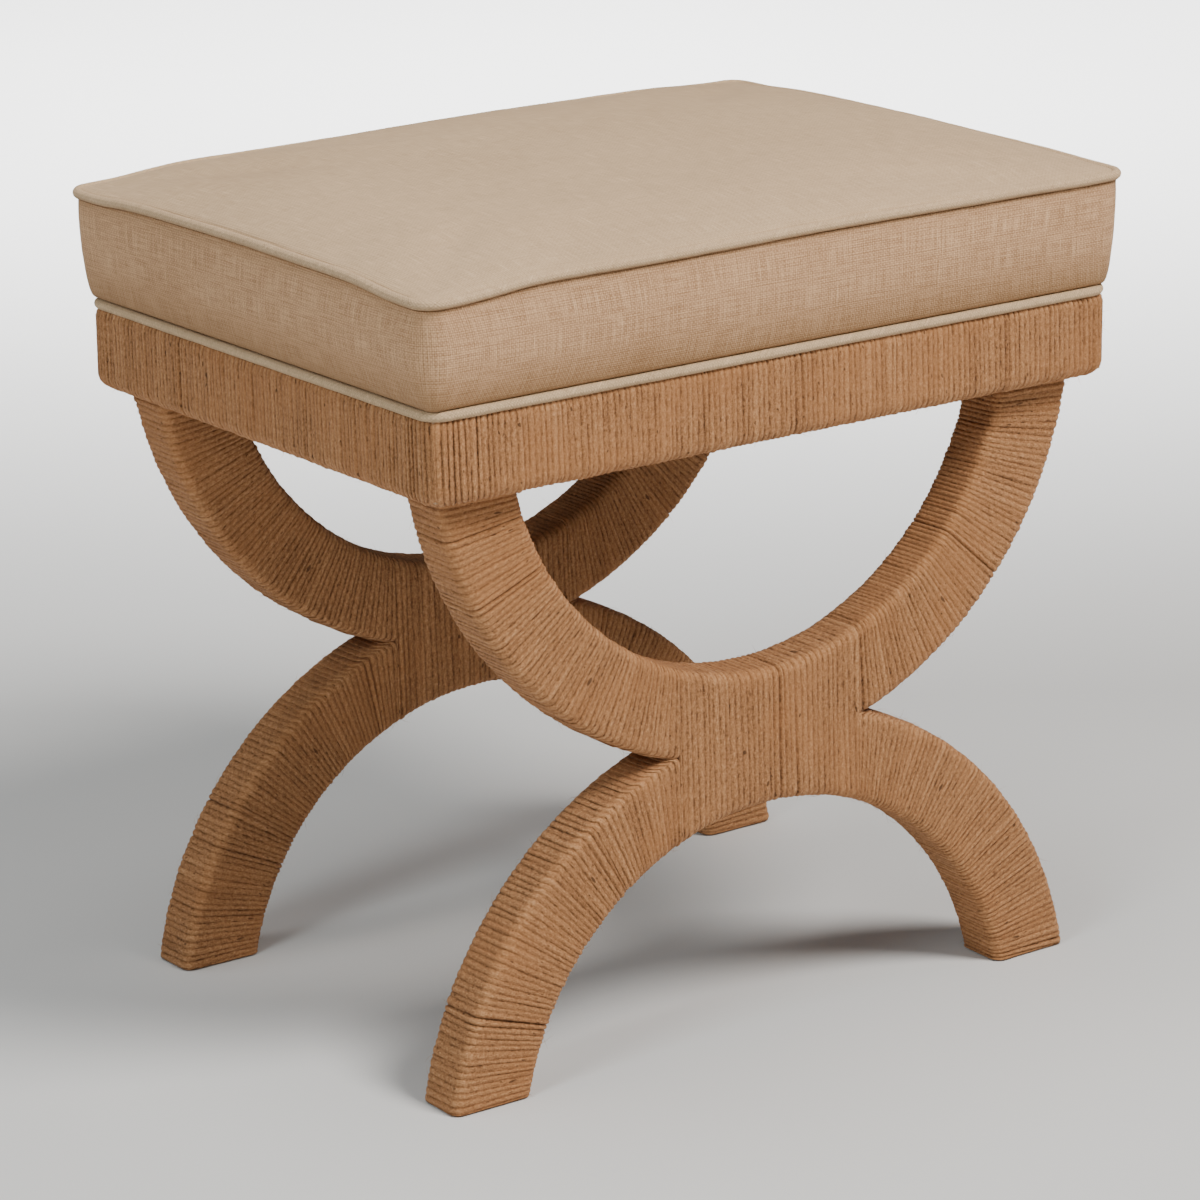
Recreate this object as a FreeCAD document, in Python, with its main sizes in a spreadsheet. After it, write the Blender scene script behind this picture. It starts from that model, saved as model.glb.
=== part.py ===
import FreeCAD
import Part
import Sketcher
import math
import os

# Cord-wrapped bench: two crossed-bow frames under a wrapped rail frame, with a boxed seat cushion.
# Millimetres. X runs along the seat, Y from front to back, Z up, origin on the floor at the middle.

doc = FreeCAD.newDocument("cord_wrapped_bench")
sheet = doc.addObject("Spreadsheet::Sheet", "Sizes")

driving_sizes = {
    # rail frame, bare wood
    "frame_length": 436,
    "frame_depth": 328,
    "rail_size": 42,
    "rail_base": 335.5,
    "tenon_length": 20,
    "tenon_width": 12,
    "tenon_height": 20,
    "tenon_base": 16,
    # crossed bows, bare wood
    "bow_inner": 165.5,
    "bow_width": 42,
    "bow_depth": 26,
    "bow_centre": 200,
    "bow_plane": 135,
    "hub_height": 166,
    # cord winding
    "cord": 3.5,
    "wrap_edge": 4.5,
    "apron_round": 9,
    "hub_band": 120,
    "foot_clear": 1,
    # joints
    "play": 0.05,
    "arm_pitch": 183.3,
    "arm_tenon_wide": 26,
    "arm_tenon_deep": 12,
    "arm_tenon_long": 12.5,
    "hub_tenon_wide": 70,
    "hub_tenon_deep": 10,
    "hub_tenon_half": 20,
    # seat
    "board_length": 430.3,
    "board_width": 322.3,
    "board_thick": 9,
    "board_round": 7.3,
    "cloth": 1.3,
    "welt_radius": 3.75,
    "welt_round": 13,
    "piping_radius": 3,
    "seam_height": 441,
    "seam_length": 448,
    "seam_width": 340,
    "seam_round": 18,
    "crown": 17.7,
    "crown_edge": 30,
    "crown_inset": 21.5,
    "crown_long_radius": 4200,
    "crown_cross_radius": 2450,
    # hidden under the seat
    "dust_length": 341,
    "dust_width": 233,
    "dust_thick": 0.8,
    "cleat_long": 240,
    "cleat_short": 140,
    "cleat_deep": 16,
    "cleat_tall": 18,
    "cleat_edge": 3,
}
for row, (alias, size) in enumerate(driving_sizes.items(), start=1):
    sheet.set(f"A{row}", alias)
    sheet.set(f"B{row}", str(size))
    sheet.setAlias(f"B{row}", alias)
doc.recompute()

# Heights and half sizes that follow from the cells, written once as expressions
WRAP_BASE = "(Sizes.rail_base - Sizes.cord)"
WRAP_TOP = "(Sizes.rail_base + Sizes.rail_size + Sizes.cord)"
HALF_LENGTH = "(Sizes.frame_length / 2)"
HALF_DEPTH = "(Sizes.frame_depth / 2)"
RAIL_INNER = "(Sizes.frame_depth / 2 - Sizes.rail_size)"
END_INNER = "(Sizes.frame_length / 2 - Sizes.rail_size)"
BOW_OUTER = "(Sizes.bow_inner + Sizes.bow_width)"
BOARD_TOP = f"({WRAP_TOP} + Sizes.board_thick)"
CLEAT_TOP = f"({WRAP_TOP} - Sizes.dust_thick)"

pieces = []


def value(expression):
    result = sheet.evalExpression(str(expression))
    return float(getattr(result, "Value", result))


def keep(piece, label):
    piece.Label = label
    pieces.append(piece)
    return piece


def place(piece, x="0", y="0", z="0", turn=0):
    piece.Placement = FreeCAD.Placement(
        FreeCAD.Vector(value(x), value(y), value(z)),
        FreeCAD.Rotation(FreeCAD.Vector(0, 0, 1), turn),
    )
    for axis, expression in (("x", x), ("y", y), ("z", z)):
        if expression != "0":
            piece.setExpression(f".Placement.Base.{axis}", expression)


def new_body(label):
    body = doc.addObject("PartDesign::Body", label)
    body.AllowCompound = True
    return keep(body, label)


def new_sketch(body, plane, offset="0"):
    sketch = body.newObject("Sketcher::SketchObject", body.Name + "_sketch")
    origin = [item for item in body.Origin.OriginFeatures if item.Name.startswith(plane)][0]
    sketch.AttachmentSupport = [(origin, "")]
    sketch.MapMode = "FlatFace"
    if offset != "0":
        sketch.setExpression(".AttachmentOffset.Base.z", offset)
    return sketch


# Sketch dimensions: each one is added with its present value and then bound to its expression

def bind(sketch, kind, *reference_and_expression):
    *reference, expression = reference_and_expression
    size = math.radians(value(expression)) if kind == "Angle" else value(expression)
    index = sketch.addConstraint(Sketcher.Constraint(kind, *reference, size))
    sketch.setExpression(f"Constraints[{index}]", expression)


def pin(sketch, geometry, point, x, y):
    for kind, expression, axis in (("DistanceX", x, -2), ("DistanceY", y, -1)):
        if abs(value(expression)) < 1e-9:
            sketch.addConstraint(Sketcher.Constraint("PointOnObject", geometry, point, axis))
        else:
            bind(sketch, kind, -1, 1, geometry, point, expression)


def chain(sketch, closed_loop):
    for here, there in zip(closed_loop, closed_loop[1:] + closed_loop[:1]):
        sketch.addConstraint(Sketcher.Constraint("Coincident", here[0], here[1], there[0], 3 - there[1]))


def line(sketch, start, end):
    return sketch.addGeometry(Part.LineSegment(FreeCAD.Vector(*start, 0), FreeCAD.Vector(*end, 0)), False)


def arc(sketch, centre, radius, first, last):
    circle = Part.Circle(FreeCAD.Vector(*centre, 0), FreeCAD.Vector(0, 0, 1), radius)
    return sketch.addGeometry(Part.ArcOfCircle(circle, first, last), False)


def rectangle(sketch, left, low, wide, tall):
    x0, y0 = value(left), value(low)
    x1, y1 = x0 + value(wide), y0 + value(tall)
    corners = [(x0, y0), (x1, y0), (x1, y1), (x0, y1)]
    sides = [line(sketch, corners[i], corners[(i + 1) % 4]) for i in range(4)]
    chain(sketch, [(side, 2) for side in sides])
    for side, kind in zip(sides, ("Horizontal", "Vertical", "Horizontal", "Vertical")):
        sketch.addConstraint(Sketcher.Constraint(kind, side))
    pin(sketch, sides[0], 1, left, low)
    bind(sketch, "DistanceX", sides[0], 1, sides[0], 2, wide)
    bind(sketch, "DistanceY", sides[1], 1, sides[1], 2, tall)


def rounded_rectangle(sketch, half_length, half_width, radius):
    a, b, r = value(half_length), value(half_width), value(radius)
    starts = [(-a + r, -b), (a, -b + r), (a - r, b), (-a, b - r)]
    ends = [(a - r, -b), (a, b - r), (-a + r, b), (-a, -b + r)]
    middles = [(a - r, -b + r), (a - r, b - r), (-a + r, b - r), (-a + r, -b + r)]
    loop = []
    for i in range(4):
        loop.append(line(sketch, starts[i], ends[i]))
        loop.append(arc(sketch, middles[i], r, math.radians(90 * i - 90), math.radians(90 * i)))
    for here, there in zip(loop, loop[1:] + loop[:1]):
        sketch.addConstraint(Sketcher.Constraint("Tangent", here, 2, there, 1))
    for corner in loop[3::2]:
        sketch.addConstraint(Sketcher.Constraint("Equal", loop[1], corner))
    bind(sketch, "Radius", loop[1], radius)
    sketch.addConstraint(Sketcher.Constraint("Horizontal", loop[4]))
    sketch.addConstraint(Sketcher.Constraint("Vertical", loop[6]))
    sketch.addConstraint(Sketcher.Constraint("Symmetric", loop[0], 1, loop[0], 2, -2))
    sketch.addConstraint(Sketcher.Constraint("Symmetric", loop[2], 1, loop[2], 2, -1))
    bind(sketch, "DistanceY", loop[0], 1, -1, 1, half_width)
    bind(sketch, "DistanceX", -1, 1, loop[2], 1, half_length)


def soft_outline(sketch, half_length, half_width, radius, draw):
    # A rounded rectangle whose sides are drawn in: the middle third of each side lies further in than its
    # corners, and a slanting run leads from it to the corner arc on either side.
    a, b, r, d = value(half_length), value(half_width), value(radius), value(draw)
    runs = [(b, a / 3), (a, b / 3)]
    loop = []
    for turn in range(4):
        depth, middle = runs[turn % 2]
        reach = runs[(turn + 1) % 2][0]
        slant = math.atan2(d, reach - middle)
        next_slant = math.atan2(d, depth - runs[(turn + 1) % 2][1])
        # the corner's centre lies a radius inside both slanting runs
        back = r * math.tan(math.pi / 4 + (slant + next_slant) / 2)
        run = math.hypot(reach - middle, d)
        leave = (middle + (run - back) * math.cos(slant), -depth + d - (run - back) * math.sin(slant))
        centre = (leave[0] + r * math.sin(slant), leave[1] + r * math.cos(slant))
        meet = (centre[0] + r * math.cos(next_slant), centre[1] + r * math.sin(next_slant))
        ahead = (reach - d, -runs[(turn + 1) % 2][1])
        spin = [(1, 0, 0, 1), (0, -1, 1, 0), (-1, 0, 0, -1), (0, 1, -1, 0)][turn]

        def turned(point):
            return (spin[0] * point[0] + spin[1] * point[1], spin[2] * point[0] + spin[3] * point[1])

        first = turn * math.pi / 2 - math.pi / 2 - slant
        loop.append(line(sketch, turned((-middle, -depth + d)), turned((middle, -depth + d))))
        loop.append(line(sketch, turned((middle, -depth + d)), turned(leave)))
        loop.append(arc(sketch, turned(centre), r, first, first + math.pi / 2 + slant + next_slant))
        loop.append(line(sketch, turned(meet), turned(ahead)))
    for turn in range(4):
        middle, away, corner, back = loop[4 * turn:4 * turn + 4]
        following = loop[(4 * turn + 4) % 16]
        sketch.addConstraint(Sketcher.Constraint("Coincident", middle, 2, away, 1))
        sketch.addConstraint(Sketcher.Constraint("Coincident", back, 2, following, 1))
        sketch.addConstraint(Sketcher.Constraint("Tangent", away, 2, corner, 1))
        sketch.addConstraint(Sketcher.Constraint("Tangent", corner, 2, back, 1))
        mirror = -2 if turn % 2 == 0 else -1
        sketch.addConstraint(Sketcher.Constraint("Symmetric", middle, 1, middle, 2, mirror))
        if turn:
            sketch.addConstraint(Sketcher.Constraint("Equal", loop[2], corner))
    bind(sketch, "Radius", loop[2], radius)
    end_slant = f"({draw}) / (2 / 3 * ({half_width}))"
    side_slant = f"({draw}) / (2 / 3 * ({half_length}))"
    bottom, right, top, left = loop[0::4]
    bind(sketch, "DistanceY", bottom, 1, -1, 1, f"{half_width} - {draw}")
    bind(sketch, "DistanceY", -1, 1, top, 1, f"{half_width} - {draw}")
    bind(sketch, "DistanceX", -1, 1, right, 1, f"{half_length} - {draw}")
    bind(sketch, "DistanceX", left, 1, -1, 1, f"{half_length} - {draw}")
    bind(sketch, "DistanceX", bottom, 1, bottom, 2, f"({half_length}) * 2 / 3")
    bind(sketch, "DistanceX", top, 2, top, 1, f"({half_length}) * 2 / 3")
    bind(sketch, "DistanceY", right, 1, right, 2, f"({half_width}) * 2 / 3")
    bind(sketch, "DistanceY", left, 2, left, 1, f"({half_width}) * 2 / 3")
    for turn in range(4):
        middle, away, corner, back = loop[4 * turn:4 * turn + 4]
        rule_here, rule_there = (side_slant, end_slant) if turn % 2 == 0 else (end_slant, side_slant)
        heading = (0, 90, 180, -90)[turn]
        next_heading = (90, 180, -90, 0)[turn]
        bind(sketch, "Angle", away, f"{heading} deg - atan({rule_here})")
        bind(sketch, "Angle", back, f"{next_heading} deg + atan({rule_there})")


# Features: each cut is checked against the volume before it, so that none points into the air

def pad(body, sketch, length, symmetric=False, flip=False):
    feature = body.newObject("PartDesign::Pad", body.Name + "_pad")
    feature.Profile = sketch
    feature.SideType = "Symmetric" if symmetric else "One side"
    feature.Reversed = flip
    feature.setExpression("Length", length)
    doc.recompute()
    return feature


def pocket(body, sketch, length, symmetric=False, flip=False):
    before = body.Shape.Volume
    feature = body.newObject("PartDesign::Pocket", body.Name + "_pocket")
    feature.Profile = sketch
    feature.SideType = "Symmetric" if symmetric else "One side"
    feature.Reversed = flip
    feature.setExpression("Length", length)
    doc.recompute()
    if body.Shape.Volume > before - 1e-3:
        raise RuntimeError(f"{feature.Name} on {body.Label} cuts nothing")
    return feature


def mortise(body, plane, offset, places, wide, tall, depth, flip=False):
    sketch = new_sketch(body, plane, offset)
    for x, y in places:
        rectangle(sketch, f"{x} - ({wide}) / 2", f"{y} - ({tall}) / 2", wide, tall)
    return pocket(body, sketch, depth, flip=flip)


def ease(body, base, kind, size, chosen):
    names = [f"Edge{i}" for i, edge in enumerate(base.Shape.Edges, start=1) if chosen(edge)]
    feature = body.newObject(f"PartDesign::{kind}", f"{body.Name}_{kind.lower()}")
    feature.Base = (base, names)
    feature.setExpression("Radius" if kind == "Fillet" else "Size", size)
    doc.recompute()
    return feature


def loft(body, sketches):
    feature = body.newObject("PartDesign::AdditiveLoft", body.Name + "_loft")
    feature.Profile = sketches[0]
    feature.Sections = sketches[1:]
    feature.Ruled = True
    doc.recompute()
    return feature


# Wooden rail frame: two long rails with mortises, two end rails with stub tenons

TENON_X = f"({HALF_LENGTH} - Sizes.rail_size / 2)"
ARM_PLACES = ("-Sizes.arm_pitch", "Sizes.arm_pitch")


def long_rail(label, side):
    rail = new_body(label)
    section = new_sketch(rail, "XY_Plane")
    rectangle(section, f"-{HALF_LENGTH}", "-Sizes.rail_size / 2", "Sizes.frame_length", "Sizes.rail_size")
    pad(rail, section, "Sizes.rail_size")
    # the inner face takes the end rails, the underside takes the two arms
    middle = "Sizes.tenon_base + Sizes.tenon_height / 2"
    mortise(rail, "XZ_Plane", "-Sizes.rail_size / 2", [(f"-{TENON_X}", middle), (TENON_X, middle)],
            "Sizes.tenon_width + 2 * Sizes.play", "Sizes.tenon_height + 2 * Sizes.play",
            "Sizes.tenon_length + Sizes.play", flip=True)
    over_arm = "(Sizes.frame_depth - Sizes.rail_size) / 2 - Sizes.bow_plane"
    mortise(rail, "XY_Plane", "0", [(x, over_arm) for x in ARM_PLACES],
            "Sizes.arm_tenon_wide + 2 * Sizes.play", "Sizes.arm_tenon_deep + 2 * Sizes.play",
            "Sizes.arm_tenon_long + 0.5", flip=True)
    turn = 0 if side == "-" else 180
    place(rail, y=f"{side}({HALF_DEPTH} - Sizes.rail_size / 2)", z="Sizes.rail_base", turn=turn)


def end_rail(label, side):
    rail = new_body(label)
    section = new_sketch(rail, "XY_Plane")
    rectangle(section, f"-{RAIL_INNER}", "-Sizes.rail_size / 2", f"2 * {RAIL_INNER}", "Sizes.rail_size")
    pad(rail, section, "Sizes.rail_size")
    tenon = new_sketch(rail, "YZ_Plane")
    rectangle(tenon, "-Sizes.tenon_width / 2", "Sizes.tenon_base", "Sizes.tenon_width", "Sizes.tenon_height")
    pad(rail, tenon, f"2 * ({RAIL_INNER} + Sizes.tenon_length)", symmetric=True)
    turn = -90 if side == "-" else 90
    place(rail, x=f"{side}({HALF_LENGTH} - Sizes.rail_size / 2)", z="Sizes.rail_base", turn=turn)


long_rail("front_rail", "-")
long_rail("back_rail", "")
end_rail("left_rail", "-")
end_rail("right_rail", "")


# Crossed bows. Each is cut from a ring; its crown is planed flat where the two bows meet at the hub.

def bow_rules(up):
    sign = "+" if up else "-"
    centre = f"(Sizes.hub_height {sign} Sizes.bow_centre)"
    end = WRAP_BASE if up else "0"
    return centre, end


def bow_profile(sketch, up):
    centre, end = bow_rules(up)
    zc, ze, zh = value(centre), value(end), value("Sizes.hub_height")
    inner, outer = value("Sizes.bow_inner"), value(BOW_OUTER)

    def angle(radius, z, right):
        rise = math.asin((z - zc) / radius)
        return rise if right else math.pi - rise

    def point(radius, z, right):
        x = math.sqrt(radius ** 2 - (z - zc) ** 2)
        return (x if right else -x, z)

    spans = {}
    for name, radius, first, last in (("inner", inner, (ze, False), (ze, True)),
                                      ("right", outer, (zh, True), (ze, True)),
                                      ("left", outer, (ze, False), (zh, False))):
        a0, a1 = angle(radius, *first), angle(radius, *last)
        if not up:
            a0, a1 = a1, a0
        while a1 < a0:
            a1 += 2 * math.pi
        spans[name] = arc(sketch, (0, zc), radius, a0, a1)
    foot_right = line(sketch, point(inner, ze, True), point(outer, ze, True))
    foot_left = line(sketch, point(outer, ze, False), point(inner, ze, False))
    flat = line(sketch, point(outer, zh, True), point(outer, zh, False))
    first, last = (1, 2) if up else (2, 1)
    for pair in ((spans["inner"], last, foot_right, 1), (foot_right, 2, spans["right"], last),
                 (spans["right"], first, flat, 1), (flat, 2, spans["left"], last),
                 (spans["left"], first, foot_left, 1), (foot_left, 2, spans["inner"], first),
                 (spans["inner"], 3, spans["right"], 3), (spans["inner"], 3, spans["left"], 3)):
        sketch.addConstraint(Sketcher.Constraint("Coincident", *pair))
    for level in (foot_right, foot_left, flat):
        sketch.addConstraint(Sketcher.Constraint("Horizontal", level))
    sketch.addConstraint(Sketcher.Constraint("Equal", spans["right"], spans["left"]))
    pin(sketch, spans["inner"], 3, "0", centre)
    bind(sketch, "Radius", spans["inner"], "Sizes.bow_inner")
    bind(sketch, "Radius", spans["right"], BOW_OUTER)
    for side in (foot_right, foot_left):
        if up:
            bind(sketch, "DistanceY", -1, 1, side, 1, end)
        else:
            sketch.addConstraint(Sketcher.Constraint("PointOnObject", side, 1, -1))
    bind(sketch, "DistanceY", -1, 1, flat, 1, "Sizes.hub_height")


def is_bend(edge):
    return type(edge.Curve).__name__ == "Circle" and edge.Curve.Radius > 100


def bow(label, side, up):
    piece = new_body(label)
    profile = new_sketch(piece, "XZ_Plane")
    bow_profile(profile, up)
    pad(piece, profile, "Sizes.bow_depth", symmetric=True)
    # a mortise in the flat for the loose tenon, and on the upper bow a tenon on each arm
    mortise(piece, "XY_Plane", "Sizes.hub_height", [("0", "0")], "Sizes.hub_tenon_wide + 2 * Sizes.play",
            "Sizes.hub_tenon_deep + 2 * Sizes.play", "Sizes.hub_tenon_half + 0.5", flip=up)
    if up:
        tenons = new_sketch(piece, "XY_Plane", WRAP_BASE)
        for x in ARM_PLACES:
            rectangle(tenons, f"{x} - Sizes.arm_tenon_wide / 2", "-Sizes.arm_tenon_deep / 2",
                      "Sizes.arm_tenon_wide", "Sizes.arm_tenon_deep")
        pad(piece, tenons, "Sizes.cord + Sizes.arm_tenon_long")
    place(piece, y=f"{side}Sizes.bow_plane")


def hub_tenon(label, side):
    tenon = new_body(label)
    section = new_sketch(tenon, "XY_Plane")
    rectangle(section, "-Sizes.hub_tenon_wide / 2", "-Sizes.hub_tenon_deep / 2", "Sizes.hub_tenon_wide",
              "Sizes.hub_tenon_deep")
    pad(tenon, section, "2 * Sizes.hub_tenon_half")
    place(tenon, y=f"{side}Sizes.bow_plane", z="Sizes.hub_height - Sizes.hub_tenon_half")


for name, side in (("front", "-"), ("back", "")):
    bow(f"{name}_upper_bow", side, True)
    bow(f"{name}_lower_bow", side, False)
    hub_tenon(f"{name}_hub_tenon", side)


# Cord windings, as sleeves of the wound cord's outer shape

def rail_sleeve(label, half_length, half_width, arm, arm_size, turn):
    # A mitred tube: its plan is a trapezium whose outer corners are rounded up to the mitre. The tenons of
    # the arms come up through slots that straddle the mitre, so every sleeve has its share of two slots.
    sleeve = new_body(label)
    plan = new_sketch(sleeve, "XY_Plane", WRAP_BASE)
    a, b = value(f"{half_length} + Sizes.cord"), value(f"{half_width} + Sizes.cord")
    wide, r = value("Sizes.rail_size + 2 * Sizes.cord"), value("Sizes.apron_round")
    diagonal = r * math.sqrt(0.5)
    outer = line(plan, (-a + r, -b), (a - r, -b))
    right = arc(plan, (a - r, -b + r), r, -math.pi / 2, -math.pi / 4)
    mitre_right = line(plan, (a - r + diagonal, -b + r - diagonal), (a - wide, -b + wide))
    inner = line(plan, (a - wide, -b + wide), (-a + wide, -b + wide))
    mitre_left = line(plan, (-a + wide, -b + wide), (-a + r - diagonal, -b + r - diagonal))
    left = arc(plan, (-a + r, -b + r), r, math.pi * 1.25, math.pi * 1.5)
    for pair in ((right, 2, mitre_right, 1), (mitre_right, 2, inner, 1), (inner, 2, mitre_left, 1),
                 (mitre_left, 2, left, 1)):
        plan.addConstraint(Sketcher.Constraint("Coincident", *pair))
    plan.addConstraint(Sketcher.Constraint("Tangent", outer, 2, right, 1))
    plan.addConstraint(Sketcher.Constraint("Tangent", left, 2, outer, 1))
    plan.addConstraint(Sketcher.Constraint("Equal", left, right))
    plan.addConstraint(Sketcher.Constraint("PointOnObject", right, 3, mitre_right))
    plan.addConstraint(Sketcher.Constraint("PointOnObject", left, 3, mitre_left))
    plan.addConstraint(Sketcher.Constraint("Horizontal", outer))
    bind(plan, "Radius", right, "Sizes.apron_round")
    pin(plan, outer, 1, f"Sizes.apron_round - {half_length} - Sizes.cord", f"-({half_width} + Sizes.cord)")
    bind(plan, "DistanceX", -1, 1, outer, 2, f"{half_length} + Sizes.cord - Sizes.apron_round")
    pin(plan, inner, 1, f"{half_length} - Sizes.rail_size - Sizes.cord",
        f"Sizes.rail_size + Sizes.cord - {half_width}")
    pin(plan, inner, 2, f"Sizes.rail_size + Sizes.cord - {half_length}",
        f"Sizes.rail_size + Sizes.cord - {half_width}")
    block = pad(sleeve, plan, "Sizes.rail_size + 2 * Sizes.cord")
    lying = {round(value(WRAP_BASE), 3), round(value(WRAP_TOP), 3)}

    def is_rim(edge):
        box = edge.BoundBox
        level = box.ZLength < 1e-3 and round(box.ZMin, 3) in lying
        mitred = type(edge.Curve).__name__ == "Line" and abs(box.XLength - box.YLength) < 1e-3
        return level and not mitred

    ease(sleeve, block, "Chamfer", "Sizes.wrap_edge", is_rim)
    hollow = new_sketch(sleeve, "XY_Plane", "Sizes.rail_base")
    rectangle(hollow, f"-{half_length}", f"-{half_width}", f"2 * {half_length}", "Sizes.rail_size")
    pocket(sleeve, hollow, "Sizes.rail_size", flip=True)
    along, across = (f"{size} + 2 * Sizes.play" for size in arm_size)
    slots = [(f"{way}{arm[0]}", f"-{arm[1]}") for way in ("-", "")]
    mortise(sleeve, "XY_Plane", WRAP_BASE, slots, along, across, "Sizes.cord", flip=True)
    place(sleeve, turn=turn)


ARM = ("Sizes.arm_pitch", "Sizes.bow_plane")
ARM_SIZE = ("Sizes.arm_tenon_wide", "Sizes.arm_tenon_deep")
rail_sleeve("front_rail_wrap", HALF_LENGTH, HALF_DEPTH, ARM, ARM_SIZE, 0)
rail_sleeve("back_rail_wrap", HALF_LENGTH, HALF_DEPTH, ARM, ARM_SIZE, 180)
rail_sleeve("left_rail_wrap", HALF_DEPTH, HALF_LENGTH, ARM[::-1], ARM_SIZE[::-1], -90)
rail_sleeve("right_rail_wrap", HALF_DEPTH, HALF_LENGTH, ARM[::-1], ARM_SIZE[::-1], 90)


def leg_sleeve(label, side, right, up):
    # One limb of a bow, from the hub band out to the rail, or down to just above the end of the wooden foot
    sleeve = new_body(label)
    profile = new_sketch(sleeve, "XZ_Plane")
    centre = bow_rules(up)[0]
    end = WRAP_BASE if up else "Sizes.foot_clear"
    zc, ze, zh = value(centre), value(end), value("Sizes.hub_height")
    inner, outer = value("Sizes.bow_inner - Sizes.cord"), value(f"{BOW_OUTER} + Sizes.cord")
    band = value("Sizes.hub_band / 2")
    way = 1 if right else -1
    low = 1 if up else -1

    def on(radius, z):
        return (way * math.sqrt(radius ** 2 - (z - zc) ** 2), z)

    hub_corner = (way * band, zc - low * math.sqrt(inner ** 2 - band ** 2))
    notch = on(outer, zh)
    tip_in, tip_out = on(inner, ze), on(outer, ze)

    def bend(radius, start, finish):
        a0 = math.atan2(start[1] - zc, start[0])
        a1 = math.atan2(finish[1] - zc, finish[0])
        forward = (a1 - a0) % (2 * math.pi) < math.pi
        if not forward:
            a0, a1 = a1, a0
        return arc(profile, (0, zc), radius, a0, a0 + (a1 - a0) % (2 * math.pi)), forward

    outside, out_forward = bend(outer, notch, tip_out)
    inside, in_forward = bend(inner, tip_in, hub_corner)
    tip = line(profile, tip_out, tip_in)
    edge = line(profile, hub_corner, (way * band, zh))
    ledge = line(profile, (way * band, zh), notch)
    out_start, out_end = (1, 2) if out_forward else (2, 1)
    in_start, in_end = (1, 2) if in_forward else (2, 1)
    for pair in ((outside, out_end, tip, 1), (tip, 2, inside, in_start), (inside, in_end, edge, 1),
                 (edge, 2, ledge, 1), (ledge, 2, outside, out_start), (outside, 3, inside, 3)):
        profile.addConstraint(Sketcher.Constraint("Coincident", *pair))
    profile.addConstraint(Sketcher.Constraint("Horizontal", tip))
    profile.addConstraint(Sketcher.Constraint("Horizontal", ledge))
    profile.addConstraint(Sketcher.Constraint("Vertical", edge))
    pin(profile, outside, 3, "0", centre)
    bind(profile, "Radius", outside, f"{BOW_OUTER} + Sizes.cord")
    bind(profile, "Radius", inside, "Sizes.bow_inner - Sizes.cord")
    bind(profile, "DistanceY", -1, 1, tip, 1, end)
    pin(profile, ledge, 1, f"{way} * Sizes.hub_band / 2", "Sizes.hub_height")
    block = pad(sleeve, profile, "Sizes.bow_depth + 2 * Sizes.cord", symmetric=True)
    ease(sleeve, block, "Chamfer", "Sizes.wrap_edge", is_bend)
    hollow = new_sketch(sleeve, "XZ_Plane")
    bow_profile(hollow, up)
    pocket(sleeve, hollow, "Sizes.bow_depth", symmetric=True)
    place(sleeve, y=f"{side}Sizes.bow_plane")


def hub_sleeve(label, side):
    # The upright winding that binds both bows together where their flats meet
    sleeve = new_body(label)
    profile = new_sketch(sleeve, "XZ_Plane")
    band = value("Sizes.hub_band / 2")
    inner = value("Sizes.bow_inner - Sizes.cord")
    half = math.asin(band / inner)
    top_centre, low_centre = bow_rules(True)[0], bow_rules(False)[0]
    zt, zl = value(top_centre), value(low_centre)
    sag = math.sqrt(inner ** 2 - band ** 2)
    top = arc(profile, (0, zt), inner, 1.5 * math.pi - half, 1.5 * math.pi + half)
    low = arc(profile, (0, zl), inner, 0.5 * math.pi - half, 0.5 * math.pi + half)
    right = line(profile, (band, zl + sag), (band, zt - sag))
    left = line(profile, (-band, zt - sag), (-band, zl + sag))
    for pair in ((low, 1, right, 1), (right, 2, top, 2), (top, 1, left, 1), (left, 2, low, 2)):
        profile.addConstraint(Sketcher.Constraint("Coincident", *pair))
    for upright in (right, left):
        profile.addConstraint(Sketcher.Constraint("Vertical", upright))
    profile.addConstraint(Sketcher.Constraint("Equal", top, low))
    bind(profile, "Radius", top, "Sizes.bow_inner - Sizes.cord")
    pin(profile, top, 3, "0", top_centre)
    pin(profile, low, 3, "0", low_centre)
    bind(profile, "DistanceX", -1, 1, right, 1, "Sizes.hub_band / 2")
    bind(profile, "DistanceX", left, 1, -1, 1, "Sizes.hub_band / 2")
    block = pad(sleeve, profile, "Sizes.bow_depth + 2 * Sizes.cord", symmetric=True)
    ease(sleeve, block, "Chamfer", "Sizes.wrap_edge", is_bend)
    for up in (True, False):
        hollow = new_sketch(sleeve, "XZ_Plane")
        bow_profile(hollow, up)
        pocket(sleeve, hollow, "Sizes.bow_depth", symmetric=True)
    place(sleeve, y=f"{side}Sizes.bow_plane")


for name, side in (("front", "-"), ("back", "")):
    for hand, right in (("left", False), ("right", True)):
        leg_sleeve(f"{name}_{hand}_arm_wrap", side, right, True)
        leg_sleeve(f"{name}_{hand}_leg_wrap", side, right, False)
    hub_sleeve(f"{name}_hub_wrap", side)


# Seat: board, foam, cover, piping and welt

board = new_body("seat_board")
plan = new_sketch(board, "XY_Plane")
rounded_rectangle(plan, "Sizes.board_length / 2", "Sizes.board_width / 2", "Sizes.board_round")
pad(board, plan, "Sizes.board_thick")
place(board, z=WRAP_TOP)

# The wall of the cushion, from where it is tucked behind the welt to just under the piping: height, how far
# it stands out from the seam, corner radius and how far its sides are drawn in between the corners
wall_sections = [
    (WRAP_TOP, "-6.9", "8.6", "0.6"),
    ("386.4", "-6.3", "9.2", "0.6"),
    ("392", "-0.5", "14.4", "0.6"),
    ("404", "4.9", "18", "0.8"),
    ("424", "5.4", "19", "1.2"),
    ("(Sizes.seam_height - Sizes.piping_radius)", "3.4", "18", "2.0"),
]


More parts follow.
